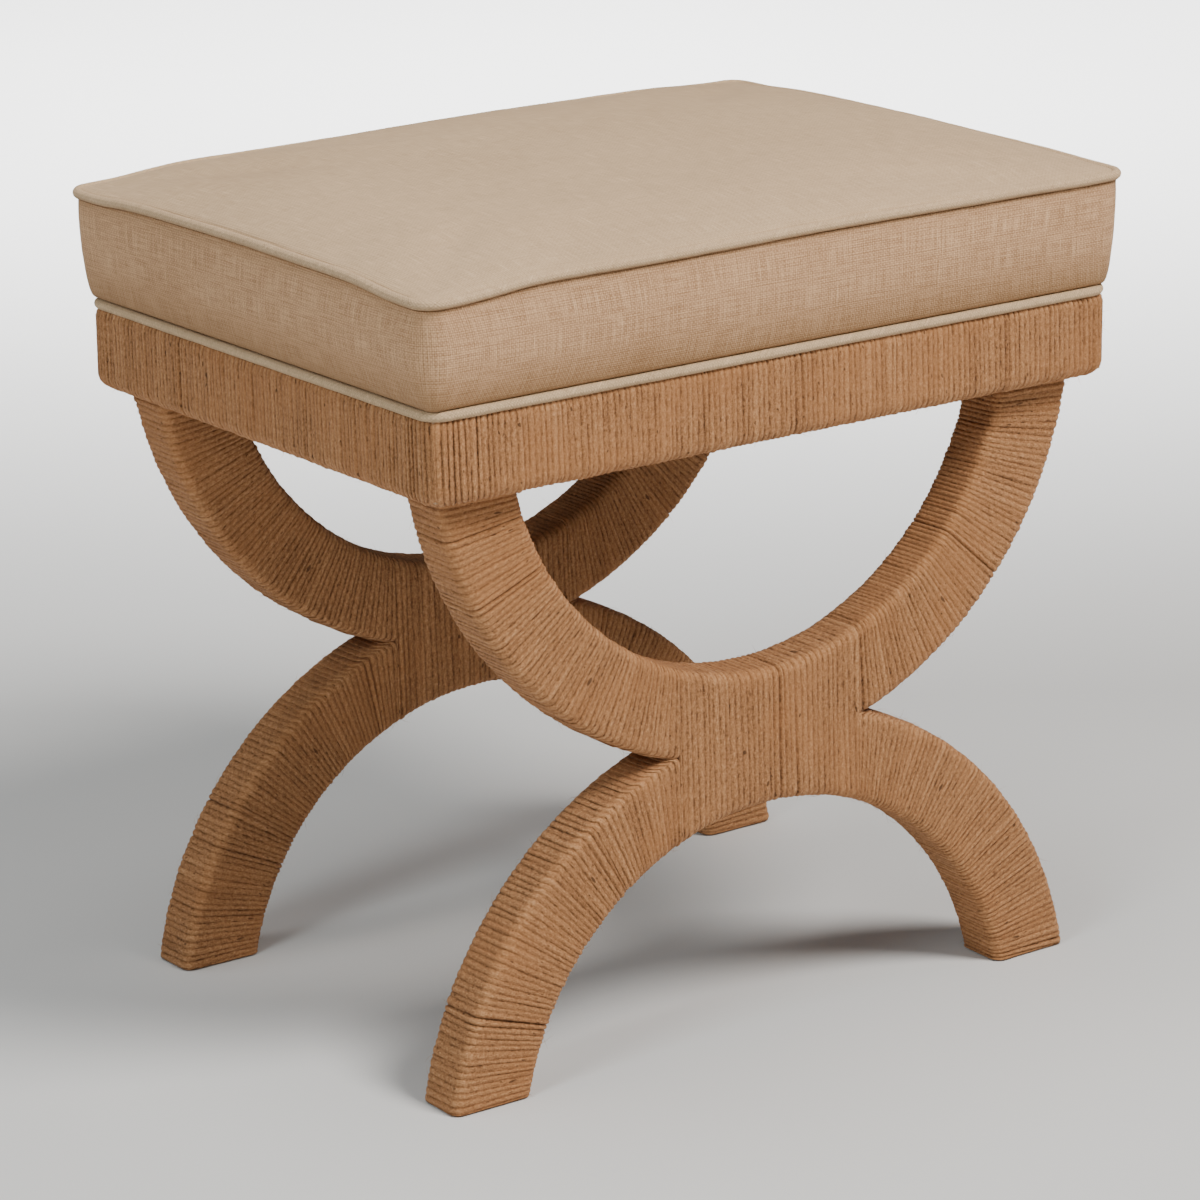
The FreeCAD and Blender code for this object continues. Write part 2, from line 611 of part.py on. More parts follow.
def seat_section(body, height, *outlines):
    sketch = new_sketch(body, "XY_Plane", height)
    for out, radius, draw in outlines:
        soft_outline(sketch, f"Sizes.seam_length / 2 + {out}", f"Sizes.seam_width / 2 + {out}", radius, draw)
    return sketch


def crown_cut(body, plane, half_span, top_radius, grow):
    # Takes away what lies over the crown as seen along one axis: a shallow arc over the middle that rolls
    # down to the seam through a smaller arc at each edge
    sketch = new_sketch(body, plane)
    seam, top = value("Sizes.seam_height"), value("Sizes.seam_height + Sizes.crown")
    big, small = value(top_radius), value("Sizes.crown_edge")
    low = top - big
    cx = value(f"{half_span} - Sizes.crown_inset")
    cz = low + math.sqrt((big - small) ** 2 - cx ** 2)
    lean = math.atan2(cz - low, cx)
    big, small = big + value(grow), small + value(grow)
    drop = math.asin((seam - cz) / small)
    end = cx + small * math.cos(drop)
    side, high = value(f"{half_span} + 20"), top + 20
    roof = arc(sketch, (0, low), big, lean, math.pi - lean)
    right = arc(sketch, (cx, cz), small, drop, lean)
    left = arc(sketch, (-cx, cz), small, math.pi - lean, math.pi - drop)
    corners = [(end, seam), (side, seam), (side, high), (-side, high), (-side, seam), (-end, seam)]
    frame = [line(sketch, corners[i], corners[i + 1]) for i in range(5)]
    sketch.addConstraint(Sketcher.Constraint("Tangent", right, 2, roof, 1))
    sketch.addConstraint(Sketcher.Constraint("Tangent", roof, 2, left, 1))
    sketch.addConstraint(Sketcher.Constraint("Coincident", right, 1, frame[0], 1))
    sketch.addConstraint(Sketcher.Constraint("Coincident", left, 2, frame[4], 2))
    for i in range(4):
        sketch.addConstraint(Sketcher.Constraint("Coincident", frame[i], 2, frame[i + 1], 1))
    for edge, kind in zip(frame, ("Horizontal", "Vertical", "Horizontal", "Vertical", "Horizontal")):
        sketch.addConstraint(Sketcher.Constraint(kind, edge))
    bind(sketch, "Radius", roof, f"{top_radius} + {grow}")
    bind(sketch, "Radius", right, f"Sizes.crown_edge + {grow}")
    sketch.addConstraint(Sketcher.Constraint("Equal", right, left))
    pin(sketch, roof, 3, "0", f"Sizes.seam_height + Sizes.crown - {top_radius}")
    bind(sketch, "DistanceX", -1, 1, right, 3, f"{half_span} - Sizes.crown_inset")
    bind(sketch, "DistanceX", left, 3, -1, 1, f"{half_span} - Sizes.crown_inset")
    bind(sketch, "DistanceY", -1, 1, right, 1, "Sizes.seam_height")
    bind(sketch, "DistanceY", -1, 1, left, 2, "Sizes.seam_height")
    bind(sketch, "DistanceX", -1, 1, frame[1], 1, f"{half_span} + 20")
    bind(sketch, "DistanceX", frame[3], 1, -1, 1, f"{half_span} + 20")
    bind(sketch, "DistanceY", -1, 1, frame[2], 1, "Sizes.seam_height + Sizes.crown + 20")
    pocket(body, sketch, "2 * Sizes.seam_length", symmetric=True)


def crown(body, base, grow):
    pad(body, base, "Sizes.crown + 2 * Sizes.cloth")
    crown_cut(body, "XZ_Plane", "Sizes.seam_length / 2", "Sizes.crown_long_radius", grow)
    crown_cut(body, "YZ_Plane", "Sizes.seam_width / 2", "Sizes.crown_cross_radius", grow)


foam = new_body("seat_foam")
sections = [seat_section(foam, BOARD_TOP, ("-4.1", "11", "0.6"))]
for height, out, radius, draw in (wall_sections[3], wall_sections[5]):
    fitted = f"{out} - Sizes.cloth - Sizes.play"
    sections.append(seat_section(foam, height, (fitted, f"{radius} - Sizes.cloth", draw)))
sections.append(seat_section(foam, "Sizes.seam_height", ("0", "Sizes.seam_round", "2.2")))
loft(foam, sections)
crown(foam, seat_section(foam, "Sizes.seam_height", ("0", "Sizes.seam_round", "2.2")), "0")

boxing = new_body("seat_boxing")
loft(boxing, [seat_section(boxing, height, (out, radius, draw),
                           (f"{out} - Sizes.cloth", f"{radius} - Sizes.cloth", draw))
              for height, out, radius, draw in wall_sections])

# The top cover is the same crown a cloth's thickness larger, less the foam that it lies on
cover_block = doc.addObject("PartDesign::Body", "cover_block")
rim = seat_section(cover_block, "Sizes.seam_height", ("Sizes.cloth", "Sizes.seam_round + Sizes.cloth", "2.2"))
crown(cover_block, rim, "Sizes.cloth")
top_cover = doc.addObject("Part::Cut", "seat_top_cover")
top_cover.Base = cover_block
top_cover.Tool = foam
keep(top_cover, "seat_top_cover")


def octagon(sketch, x, y, radius):
    # An octagon whose flats touch the circle of this radius
    corner = f"({radius}) / cos(22.5 deg)"
    points = [(value(x) + value(corner) * math.cos(math.radians(45 * i + 22.5)),
               value(y) + value(corner) * math.sin(math.radians(45 * i + 22.5))) for i in range(8)]
    sides = [line(sketch, points[i], points[(i + 1) % 8]) for i in range(8)]
    chain(sketch, [(side, 2) for side in sides])
    for side in sides[1:]:
        sketch.addConstraint(Sketcher.Constraint("Equal", sides[0], side))
    hub = sketch.addGeometry(Part.Circle(FreeCAD.Vector(value(x), value(y), 0), FreeCAD.Vector(0, 0, 1),
                                         value(corner)), True)
    for side in sides:
        sketch.addConstraint(Sketcher.Constraint("PointOnObject", side, 1, hub))
    sketch.addConstraint(Sketcher.Constraint("Vertical", sides[7]))
    bind(sketch, "Radius", hub, corner)
    pin(sketch, hub, 3, x, y)


def edging(label, radius, height, outline):
    # A cord in a cloth sleeve, run once round the seat; its round section is eight-sided and is drawn where
    # the path crosses the middle of the right-hand end
    ring = new_body(label)
    path = new_sketch(ring, "XY_Plane", height)
    reach = outline(path)
    section = new_sketch(ring, "XZ_Plane")
    octagon(section, reach, height, radius)
    doc.recompute()
    tube = ring.newObject("PartDesign::AdditivePipe", label + "_tube")
    tube.Profile = section
    tube.Transition = "Right corner"
    tube.Spine = (path, [f"Edge{i}" for i in range(1, len(path.Shape.Edges) + 1)])
    doc.recompute()
    return ring


def piping_outline(path):
    out = "Sizes.cloth + Sizes.play + Sizes.piping_radius"
    reach = f"Sizes.seam_length / 2 + {out}"
    soft_outline(path, reach, f"Sizes.seam_width / 2 + {out}", "Sizes.seam_round + 1", "2")
    return f"{reach} - 2"


def welt_outline(path):
    reach = f"{HALF_LENGTH} + Sizes.cord"
    rounded_rectangle(path, reach, f"{HALF_DEPTH} + Sizes.cord", "Sizes.welt_round")
    return reach


edging("top_piping", "Sizes.piping_radius", "Sizes.seam_height", piping_outline)
edging("base_welt", "Sizes.welt_radius", f"{WRAP_TOP} + Sizes.welt_radius", welt_outline)


# Hidden under the seat: the dust cover, and wooden cleats that hold the board to the rails

dust = new_body("dust_cover")
plan = new_sketch(dust, "XY_Plane")
rectangle(plan, "-Sizes.dust_length / 2", "-Sizes.dust_width / 2", "Sizes.dust_length", "Sizes.dust_width")
pad(dust, plan, "Sizes.dust_thick")
place(dust, z=CLEAT_TOP)

FRONT_FACE = f"({RAIL_INNER} - Sizes.cord)"
END_FACE = f"({END_INNER} - Sizes.cord)"
for name, length, x, y, turn in (("front", "Sizes.cleat_long", "0", f"-{FRONT_FACE}", 0),
                                 ("back", "Sizes.cleat_long", "0", FRONT_FACE, 180),
                                 ("left", "Sizes.cleat_short", f"-{END_FACE}", "0", -90),
                                 ("right", "Sizes.cleat_short", END_FACE, "0", 90)):
    cleat = new_body(f"{name}_cleat")
    section = new_sketch(cleat, "YZ_Plane")
    rectangle(section, "0", "-Sizes.cleat_tall", "Sizes.cleat_deep", "Sizes.cleat_tall")
    strip = pad(cleat, section, length, symmetric=True)
    low = -value("Sizes.cleat_tall")
    free = value("Sizes.cleat_deep")
    ease(cleat, strip, "Chamfer", "Sizes.cleat_edge",
         lambda edge: edge.BoundBox.ZMax < low + 0.01 and edge.BoundBox.YMin > free - 0.01)
    place(cleat, x, y, CLEAT_TOP, turn)

doc.recompute()

for item in doc.Objects:
    if "Invalid" in item.State or "Error" in item.State:
        raise RuntimeError(f"{item.Label} did not rebuild: {item.State}")
os.makedirs("parts", exist_ok=True)
for piece in pieces:
    if piece.Shape.isNull() or not piece.Shape.isValid():
        raise RuntimeError(f"{piece.Label} has no sound shape")
    piece.Shape.exportStep(f"parts/{piece.Label}.step")
    print(f"{piece.Label}: {len(piece.Shape.Solids)} solid(s), {piece.Shape.Volume / 1000:.1f} cm3")
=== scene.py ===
import bpy
import math
import numpy as np
from mathutils import Matrix, Vector


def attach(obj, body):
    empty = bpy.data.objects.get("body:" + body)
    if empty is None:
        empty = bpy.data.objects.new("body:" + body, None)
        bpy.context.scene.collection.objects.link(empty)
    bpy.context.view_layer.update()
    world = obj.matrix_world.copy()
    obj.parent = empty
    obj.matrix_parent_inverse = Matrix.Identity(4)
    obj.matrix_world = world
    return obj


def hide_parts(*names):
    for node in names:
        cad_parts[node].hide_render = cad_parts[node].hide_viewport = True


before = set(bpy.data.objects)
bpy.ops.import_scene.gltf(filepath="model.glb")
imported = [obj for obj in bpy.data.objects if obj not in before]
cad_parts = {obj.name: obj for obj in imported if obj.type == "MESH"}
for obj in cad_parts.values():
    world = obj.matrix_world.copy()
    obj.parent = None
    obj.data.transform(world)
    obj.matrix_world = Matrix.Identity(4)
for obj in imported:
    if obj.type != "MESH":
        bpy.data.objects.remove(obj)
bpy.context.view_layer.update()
mm = 0.001
print("frame loaded,", len(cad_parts), "nodes")


# shader maths: a socket with operators, and a graph that makes any other node

class Socket:
    def __init__(self, graph, link):
        self.graph = graph
        self.link = link

    def math(self, operation, *values):
        return self.graph.node("ShaderNodeMath", {"operation": operation}, list(values))

    def __add__(self, other):
        return self.math("ADD", self, other)

    def __radd__(self, other):
        return self.math("ADD", other, self)

    def __sub__(self, other):
        return self.math("SUBTRACT", self, other)

    def __rsub__(self, other):
        return self.math("SUBTRACT", other, self)

    def __mul__(self, other):
        return self.math("MULTIPLY", self, other)

    def __rmul__(self, other):
        return self.math("MULTIPLY", other, self)

    def sine(self):
        return self.math("SINE", self)

    def above(self, low, high):
        # 0 under low, 1 over high, smooth between
        return self.graph.node("ShaderNodeMapRange", {"interpolation_type": "SMOOTHSTEP"},
                               {"Value": self, "From Min": low, "From Max": high})


class Graph:
    def __init__(self, name):
        self.material = bpy.data.materials.new(name)
        self.material.use_nodes = True
        self.tree = self.material.node_tree
        self.shader = self.tree.nodes["Principled BSDF"]

    def node(self, kind, settings=None, sockets=None, output=0):
        made = self.tree.nodes.new(kind)
        for key, setting in (settings or {}).items():
            setattr(made, key, setting)
        pairs = sockets.items() if isinstance(sockets, dict) else enumerate(sockets or [])
        for key, given in pairs:
            self.feed(made.inputs[key], given)
        return Socket(self, made.outputs[output])

    def feed(self, target, given):
        if isinstance(given, Socket):
            self.tree.links.new(given.link, target)
        else:
            target.default_value = given

    def vector(self, x, y):
        return self.node("ShaderNodeCombineXYZ", None, [x, y])

    def run(self):
        # the two parts of the UV map that follows the cord or the cloth
        parts = self.node("ShaderNodeSeparateXYZ", None, [self.node("ShaderNodeUVMap", {"uv_map": "run"})])
        return [Socket(self, parts.link.node.outputs[i]) for i in range(2)]

    def place(self):
        return self.node("ShaderNodeTexCoord", None, None, "Object")

    def attribute(self, name):
        return self.node("ShaderNodeAttribute", {"attribute_name": name}, None, "Fac")

    def noise(self, vector, scale, detail=2.0, rough=0.5):
        return self.node("ShaderNodeTexNoise", None,
                         {"Vector": vector, "Scale": scale, "Detail": detail, "Roughness": rough})

    def ramp(self, factor, stops):
        made = self.node("ShaderNodeValToRGB", None, {"Fac": factor})
        elements = made.link.node.color_ramp.elements
        for place, _ in stops[len(elements):]:
            elements.new(place)
        for element, (place, colour) in zip(elements, stops):
            element.position = place
            element.color = (*colour, 1)
        return made

    def blend(self, factor, first, second):
        # a mix node's sockets share names, so those for colours go by number
        mixed = self.node("ShaderNodeMix", {"data_type": "RGBA"}, {0: factor}, 2)
        owner = mixed.link.node
        for index, given in ((6, first), (7, second)):
            self.feed(owner.inputs[index], (*given, 1) if isinstance(given, tuple) else given)
        return mixed

    def finish(self, colour, roughness, height=None, depth=0.0, strength=0.0, **constants):
        self.feed(self.shader.inputs["Base Color"], colour)
        self.feed(self.shader.inputs["Roughness"], roughness)
        if height is not None:
            bump = self.node("ShaderNodeBump", None, {"Strength": strength, "Distance": depth, "Height": height})
            self.feed(self.shader.inputs["Normal"], bump)
        for key, number in constants.items():
            self.shader.inputs[key].default_value = number
        return self.material


cordLook = {
    "plyTurn": 6.2 * mm, "plyLean": 4.4, "fluff": (800.0, 3.0, 0.6), "patchScale": 17.0,
    # yarn noise: stretch along and across the cord, then shift along and across
    "fibre": (380, 4.5, 0, 0), "streak": (20, 1.0, 0, 0), "fleck": (120, 1.15, 0, 0), "speck": (210, 1.5, 40, 7),
    "knot": (95, 0.75, 11, 3), "paintedValleyShade": (115, 0.9, 0, 19), "fibreNoise": (4.0, 0.62), "streakNoise": (2.0, 0.5),
    "markNoise": (1.0, 0.5),
    # the noise shows as a mark from the first value on, fully from the second
    "fleckEdge": (0.70, 0.77), "speckEdge": (0.715, 0.76), "knotEdge": (0.735, 0.775), "paintedValleyShadeEdge": (0.47, 0.60),
    "patchEdge": (0.42, 0.66),
    "fibreTone": 0.68, "fluffTone": 0.58, "streakTone": 0.28, "plyTone": 0.02, "shadeTone": 0.46, "paintedValleyShadeTone": 0.17,
    "toneLess": 0.619,
    "straw": [(0.05, (0.055, 0.021, 0.008)), (0.30, (0.205, 0.090, 0.036)),
              (0.55, (0.410, 0.197, 0.085)), (0.80, (0.610, 0.335, 0.160))],
    "patchColour": (0.42, 0.182, 0.070), "fleckColour": (0.090, 0.036, 0.015), "speckColour": (0.050, 0.020, 0.009),
    "patchShare": 0.30, "fleckShare": 0.45, "speckShare": 0.70, "knotShare": 0.75, "bothShare": 0.5,
    "roughness": (0.86, 0.12), "plyRelief": 0.06, "fibreRelief": 0.55, "fluffRelief": 0.45,
    "relief": (1.1 * mm, 0.75),
    "shader": {"Sheen Weight": 0.05, "Sheen Roughness": 0.5, "Specular IOR Level": 0.15}}


def cordFinish():
    # UV x is metres along the cord, UV y counts turns. The tone adds up short fibres, fluff, paler lengths of yarn,
    # the faint twist of the plies and the winding's shade attribute, which holds painted shade, a painted highlight
    # and random tone, less broken strokes of painted shade in the valleys between turns.
    d = cordLook
    g = Graph("woundCord")
    along, across = g.run()
    place = g.place()

    def yarn(key, noise):
        stretch, widen, shift, shiftAcross = d[key]
        return g.noise(g.vector(along * stretch + shift, across * widen + shiftAcross), 1.0, *d[noise])

    def marks(key):
        return yarn(key, "markNoise").above(*d[key + "Edge"])

    ply = (along * (2 * math.pi / d["plyTurn"]) + across * d["plyLean"]).sine()
    fibre, streak = yarn("fibre", "fibreNoise"), yarn("streak", "streakNoise")
    fluff = g.noise(place, *d["fluff"])
    fleck, speck, knot = marks("fleck"), marks("speck"), marks("knot")  # dull flecks, scraps of dark bark, rare knots
    # painted shade: broken dark strokes along the valleys between turns
    wave = (across * (2 * math.pi) + math.pi / 2).sine() * 0.5 + 0.5
    valleyShadeStrokes = wave * wave * wave * marks("paintedValleyShade")
    tone = fibre * d["fibreTone"] + fluff * d["fluffTone"] + streak * d["streakTone"] + ply * d["plyTone"]
    tone = tone + g.attribute("shade") * d["shadeTone"] - valleyShadeStrokes * d["paintedValleyShadeTone"] - d["toneLess"]
    patch = g.noise(place, d["patchScale"]).above(*d["patchEdge"])
    warm = g.blend(patch * d["patchShare"], g.ramp(tone, d["straw"]), d["patchColour"])
    flecked = g.blend(fleck * d["fleckShare"], warm, d["fleckColour"])
    scraps = speck * d["speckShare"] + knot * d["knotShare"] - speck * knot * d["bothShare"]
    specked = g.blend(scraps, flecked, d["speckColour"])
    height = ply * d["plyRelief"] + fibre * d["fibreRelief"] + fluff * d["fluffRelief"]
    return g.finish(specked, d["roughness"][0] + fibre * d["roughness"][1], height, *d["relief"], **d["shader"])


linenLook = {
    "pitch": 1.2 * mm, "ridge": 0.5, "crossing": 0.35, "slubLong": 55, "slubWide": 1.3, "cloud": (9.0, 3.0),
    "fuzzScale": 900.0, "weaveTone": 0.24, "fuzzTone": 0.25, "threadTone": 1.25, "panelTone": 0.7, "cloudTone": 0.26,
    "toneMore": 0.37, "stops": (0.18, 0.78), "paleEdge": (0.64, 0.76), "paler": 1.3, "paintedShadeShare": 0.85,
    "paintedShadeTint": (0.58, 0.46, 0.32), "roughness": 0.94, "weaveRelief": 0.6, "slubRelief": 0.5,
    "relief": (0.6 * mm, 0.6),
    "shader": {"Sheen Weight": 0.05, "Sheen Roughness": 0.5, "Specular IOR Level": 0.12}}
coverColours = {
    "light": (0.635, 0.448, 0.276), "dark": (0.415, 0.278, 0.160), "slubs": 0.42, "flecks": 0.25,
    "side": ((0.360, 0.200, 0.101), (0.655, 0.400, 0.224))}
weltColours = {"light": (0.660, 0.468, 0.284), "dark": (0.400, 0.276, 0.160), "slubs": 0.42, "flecks": 0.35}
dustColours = {"light": (0.030, 0.028, 0.026), "dark": (0.014, 0.013, 0.012), "slubs": 0.6, "flecks": 0.15}


def linenFinish(name, colours):
    # A plain weave: two sets of threads as sine ridges, the odd crossings raised, and thick places in single threads.
    # Panel is 1 on a side wall, whose cloth shows its threads more. Painted shade is 1 in a sewn fold and fades from
    # there.
    d = linenLook
    g = Graph(name)
    u, v = g.run()
    place = g.place()
    panel, paintedShade = g.attribute("panel"), g.attribute("paintedShade")
    warp, weft = ((way * (math.pi / d["pitch"])).sine() for way in (u, v))
    weave = warp * warp * d["ridge"] + weft * weft * d["ridge"] + warp * weft * d["crossing"]
    narrow = d["slubWide"] / d["pitch"]
    thickWeft = g.noise(g.vector(u * d["slubLong"], v * narrow), 1.0, 1.0)
    thickWarp = g.noise(g.vector(u * narrow, v * d["slubLong"]), 1.0, 1.0)
    fuzz = g.noise(place, d["fuzzScale"])
    threads = (weave - 0.5) * d["weaveTone"] + (thickWeft + thickWarp - 1.0) * colours["slubs"]
    threads = threads + (fuzz - 0.5) * d["fuzzTone"]
    tone = threads * (d["threadTone"] + panel * d["panelTone"]) + g.noise(place, *d["cloud"]) * d["cloudTone"]
    tone = tone + d["toneMore"]
    base = g.ramp(tone, list(zip(d["stops"], (colours["dark"], colours["light"]))))
    if "side" in colours:
        base = g.blend(panel, base, g.ramp(tone, list(zip(d["stops"], colours["side"]))))
    pale = tuple(min(1.0, c * d["paler"]) for c in colours["light"])
    paler = g.blend(thickWarp.above(*d["paleEdge"]) * colours["flecks"], base, pale)
    # painted shade: darkens the cloth towards a tinted dark in sewn folds, under the piping and towards the foot of
    # the side wall
    withPaintedShade = g.blend(paintedShade * d["paintedShadeShare"], paler, tuple(c * k for c, k in zip(colours["dark"], d["paintedShadeTint"])))
    height = weave * d["weaveRelief"] + thickWeft * d["slubRelief"] + thickWarp * d["slubRelief"]
    return g.finish(withPaintedShade, d["roughness"], height, *d["relief"], **d["shader"])


woodLook = {
    "bands": 46.0, "grain": (4.0, 0.6), "poreScale": 9, "bandShare": 0.45, "poreShare": 0.25,
    "roughness": (0.62, 0.2), "poreRelief": 0.3, "relief": (0.4 * mm, 0.4)}
timber = {"light": (0.46, 0.30, 0.17), "dark": (0.25, 0.14, 0.07), "ringScale": 22.0, "stretch": (0.25, 1.0, 1.0)}
board = {"light": (0.60, 0.45, 0.28), "dark": (0.42, 0.28, 0.15), "ringScale": 16.0, "stretch": (0.3, 1.0, 6.0)}


def woodFinish(name, wood):
    # growth rings: noise stretched along the grain, banded by a sine
    d = woodLook
    g = Graph(name)
    turned = g.node("ShaderNodeMapping", None, {"Vector": g.place(), "Scale": wood["stretch"]})
    grain = g.noise(turned, wood["ringScale"], *d["grain"])
    bands = (grain * d["bands"]).sine() * 0.5 + 0.5
    pores = g.noise(turned, wood["ringScale"] * d["poreScale"])
    colour = g.blend(bands * d["bandShare"] + pores * d["poreShare"], wood["light"], wood["dark"])
    height = grain + pores * d["poreRelief"]
    return g.finish(colour, d["roughness"][0] + pores * d["roughness"][1], height, *d["relief"])


steelLook = {
    "scuff": (700.0, 3.0), "bright": (0.50, 0.49, 0.47), "dull": (0.30, 0.29, 0.28), "roughness": (0.28, 0.25),
    "relief": (0.1 * mm, 0.3)}


def steelFinish():
    # fine scuffs, duller and rougher where the noise is high
    d = steelLook
    g = Graph("bareSteel")
    scuff = g.noise(g.place(), *d["scuff"])
    colour = g.blend(scuff, d["bright"], d["dull"])
    return g.finish(colour, d["roughness"][0] + scuff * d["roughness"][1], scuff, *d["relief"], Metallic=1.0)


cordMaterial = cordFinish()
coverLinen = linenFinish("coverLinen", coverColours)
weltLinen = linenFinish("weltCloth", weltColours)
dustCloth = linenFinish("dustCloth", dustColours)
frameWood = woodFinish("frameWood", timber)
plywood = woodFinish("plywood", board)
steel = steelFinish()
print("finishes made")


# meshes from numpy arrays

def addObject(name, data):
    made = bpy.data.objects.new(name, data)
    bpy.context.scene.collection.objects.link(made)
    return made


def addPiece(name, points, quads, material, nodes=(), uv=None, values=None, flip=False):
    used, order = np.unique(quads, return_inverse=True)
    points = points[used]
    quads = order.reshape(-1, 4)
    if flip:
        quads = quads[:, ::-1]
        uv = None if uv is None else uv[:, ::-1]
    mesh = bpy.data.meshes.new(name)
    mesh.vertices.add(len(points))
    mesh.vertices.foreach_set("co", np.ascontiguousarray(points, np.float32).ravel())
    mesh.loops.add(quads.size)
    mesh.polygons.add(len(quads))
    mesh.polygons.foreach_set("loop_start", np.arange(0, quads.size, 4, dtype=np.int32))
    mesh.polygons.foreach_set("vertices", np.ascontiguousarray(quads, np.int32).ravel())
    mesh.polygons.foreach_set("use_smooth", np.ones(len(quads), bool))
    if uv is not None:
        mesh.uv_layers.new(name="run").data.foreach_set("uv", np.ascontiguousarray(uv, np.float32).ravel())
    for key, table in (values or {}).items():
        mesh.attributes.new(key, "FLOAT", "POINT").data.foreach_set("value", table[used].astype(np.float32))
    mesh.update()
    mesh.validate()
    mesh.materials.append(material)
    piece = addObject(name, mesh)
    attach(piece, "root")
    if nodes:
        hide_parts(*nodes)
    return piece


def gridQuads(rows, columns, closed):
    # faces of a grid of rows by columns; a closed one joins its last column to its first
    r, c = np.meshgrid(np.arange(rows - 1), np.arange(columns if closed else columns - 1), indexing="ij")
    n = (c + 1) % columns
    quads = [r * columns + c, r * columns + n, (r + 1) * columns + n, (r + 1) * columns + c]
    return np.stack(quads, -1).reshape(-1, 4)


def uvQuads(u0, u1, v0, v1):
    # the four corners of every face, from its first and last u and v
    corners = [np.stack([u0, v0], -1), np.stack([u1, v0], -1), np.stack([u1, v1], -1), np.stack([u0, v1], -1)]
    return np.stack(corners, -2).reshape(-1, 4, 2)


# cord windings: one helix of cord for each rail, limb and hub

# lengths are in steps, perTurn of them to a turn, and heights in diameters; noise is for wander, thickness and shade
cordWinding = {
    "diameter": 3.5 * mm, "rowsPerTurn": 6, "valley": 0.84, "roundness": 0.8, "perTurn": 64, "spareTurns": 4,
    "wander": 0.10, "thickThin": 0.04, "noiseLengths": (40, 26, 150), "slubEvery": 0.35, "slubRise": (0.06, 0.20),
    "slubLength": (2, 7), "gapEvery": 0.06, "gapDepth": (0.3, 0.9), "gapLength": (20, 60), "gapDrop": 0.35,
    "sunk": 0.02, "highest": 1.17, "tuck": 1.08}
# painted shade and highlight of the cord: valley and crown set painted shade across a turn, gap darkens loose gaps
# between turns, arris is a painted highlight on bends; slow, thick and slub vary the tone at random
cordShade = {
    "valley": 0.545, "crown": 0.29, "slow": 0.03, "thick": 0.03, "arris": 0.13, "gap": 0.35, "slub": 0.5,
    "slubFrom": 0.08}


def overWood(fraction, facing, half, arris, height):
    # a place on the winding's section: the flat part's share, then out over the rounded arris and the cord
    return fraction * (half - arris) + facing * (arris + height)


def sectionColumns(winding):
    # columns round a rounded rectangle: a fixed point (fractions of the flat half sizes) and an outward normal
    (halfA, halfB), arris, (sideA, sideB, bend) = winding["half"], winding["arris"], winding["columns"]
    corners = np.array([(1, 1), (-1, 1), (-1, -1), (1, -1), (1, 1)], float)
    spots, quarters = [], []
    for q, inner in enumerate((sideA, sideB) * 2):
        w = np.concatenate([np.zeros(bend + 1), np.arange(1, inner) / inner])[:, None]
        spots.append(corners[q] * (1 - w) + corners[q + 1] * w)
        quarters.append(q + np.concatenate([np.arange(bend + 1) / bend, np.ones(inner - 1)]))
    fa, fb = np.concatenate(spots).T
    angle = np.concatenate(quarters) * math.pi / 2
    na, nb = np.cos(angle), np.sin(angle)
    a = overWood(fa, na, halfA, arris, cordWinding["diameter"])
    b = overWood(fb, nb, halfB, arris, cordWinding["diameter"])
    lengths = np.hypot(np.diff(a, append=a[0]), np.diff(b, append=b[0]))
    perimeter = lengths.sum()
    s = np.concatenate([[0], np.cumsum(lengths)[:-1]]) / perimeter
    return fa, fb, na, nb, s, perimeter


def yarnTable(rng, steps, width):
    # smooth noise along the cord: white noise under a bell of the given width
    bell = np.hanning(width + 2)[1:-1]
    return np.convolve(rng.normal(size=steps), bell / np.sqrt((bell ** 2).sum()), "same")


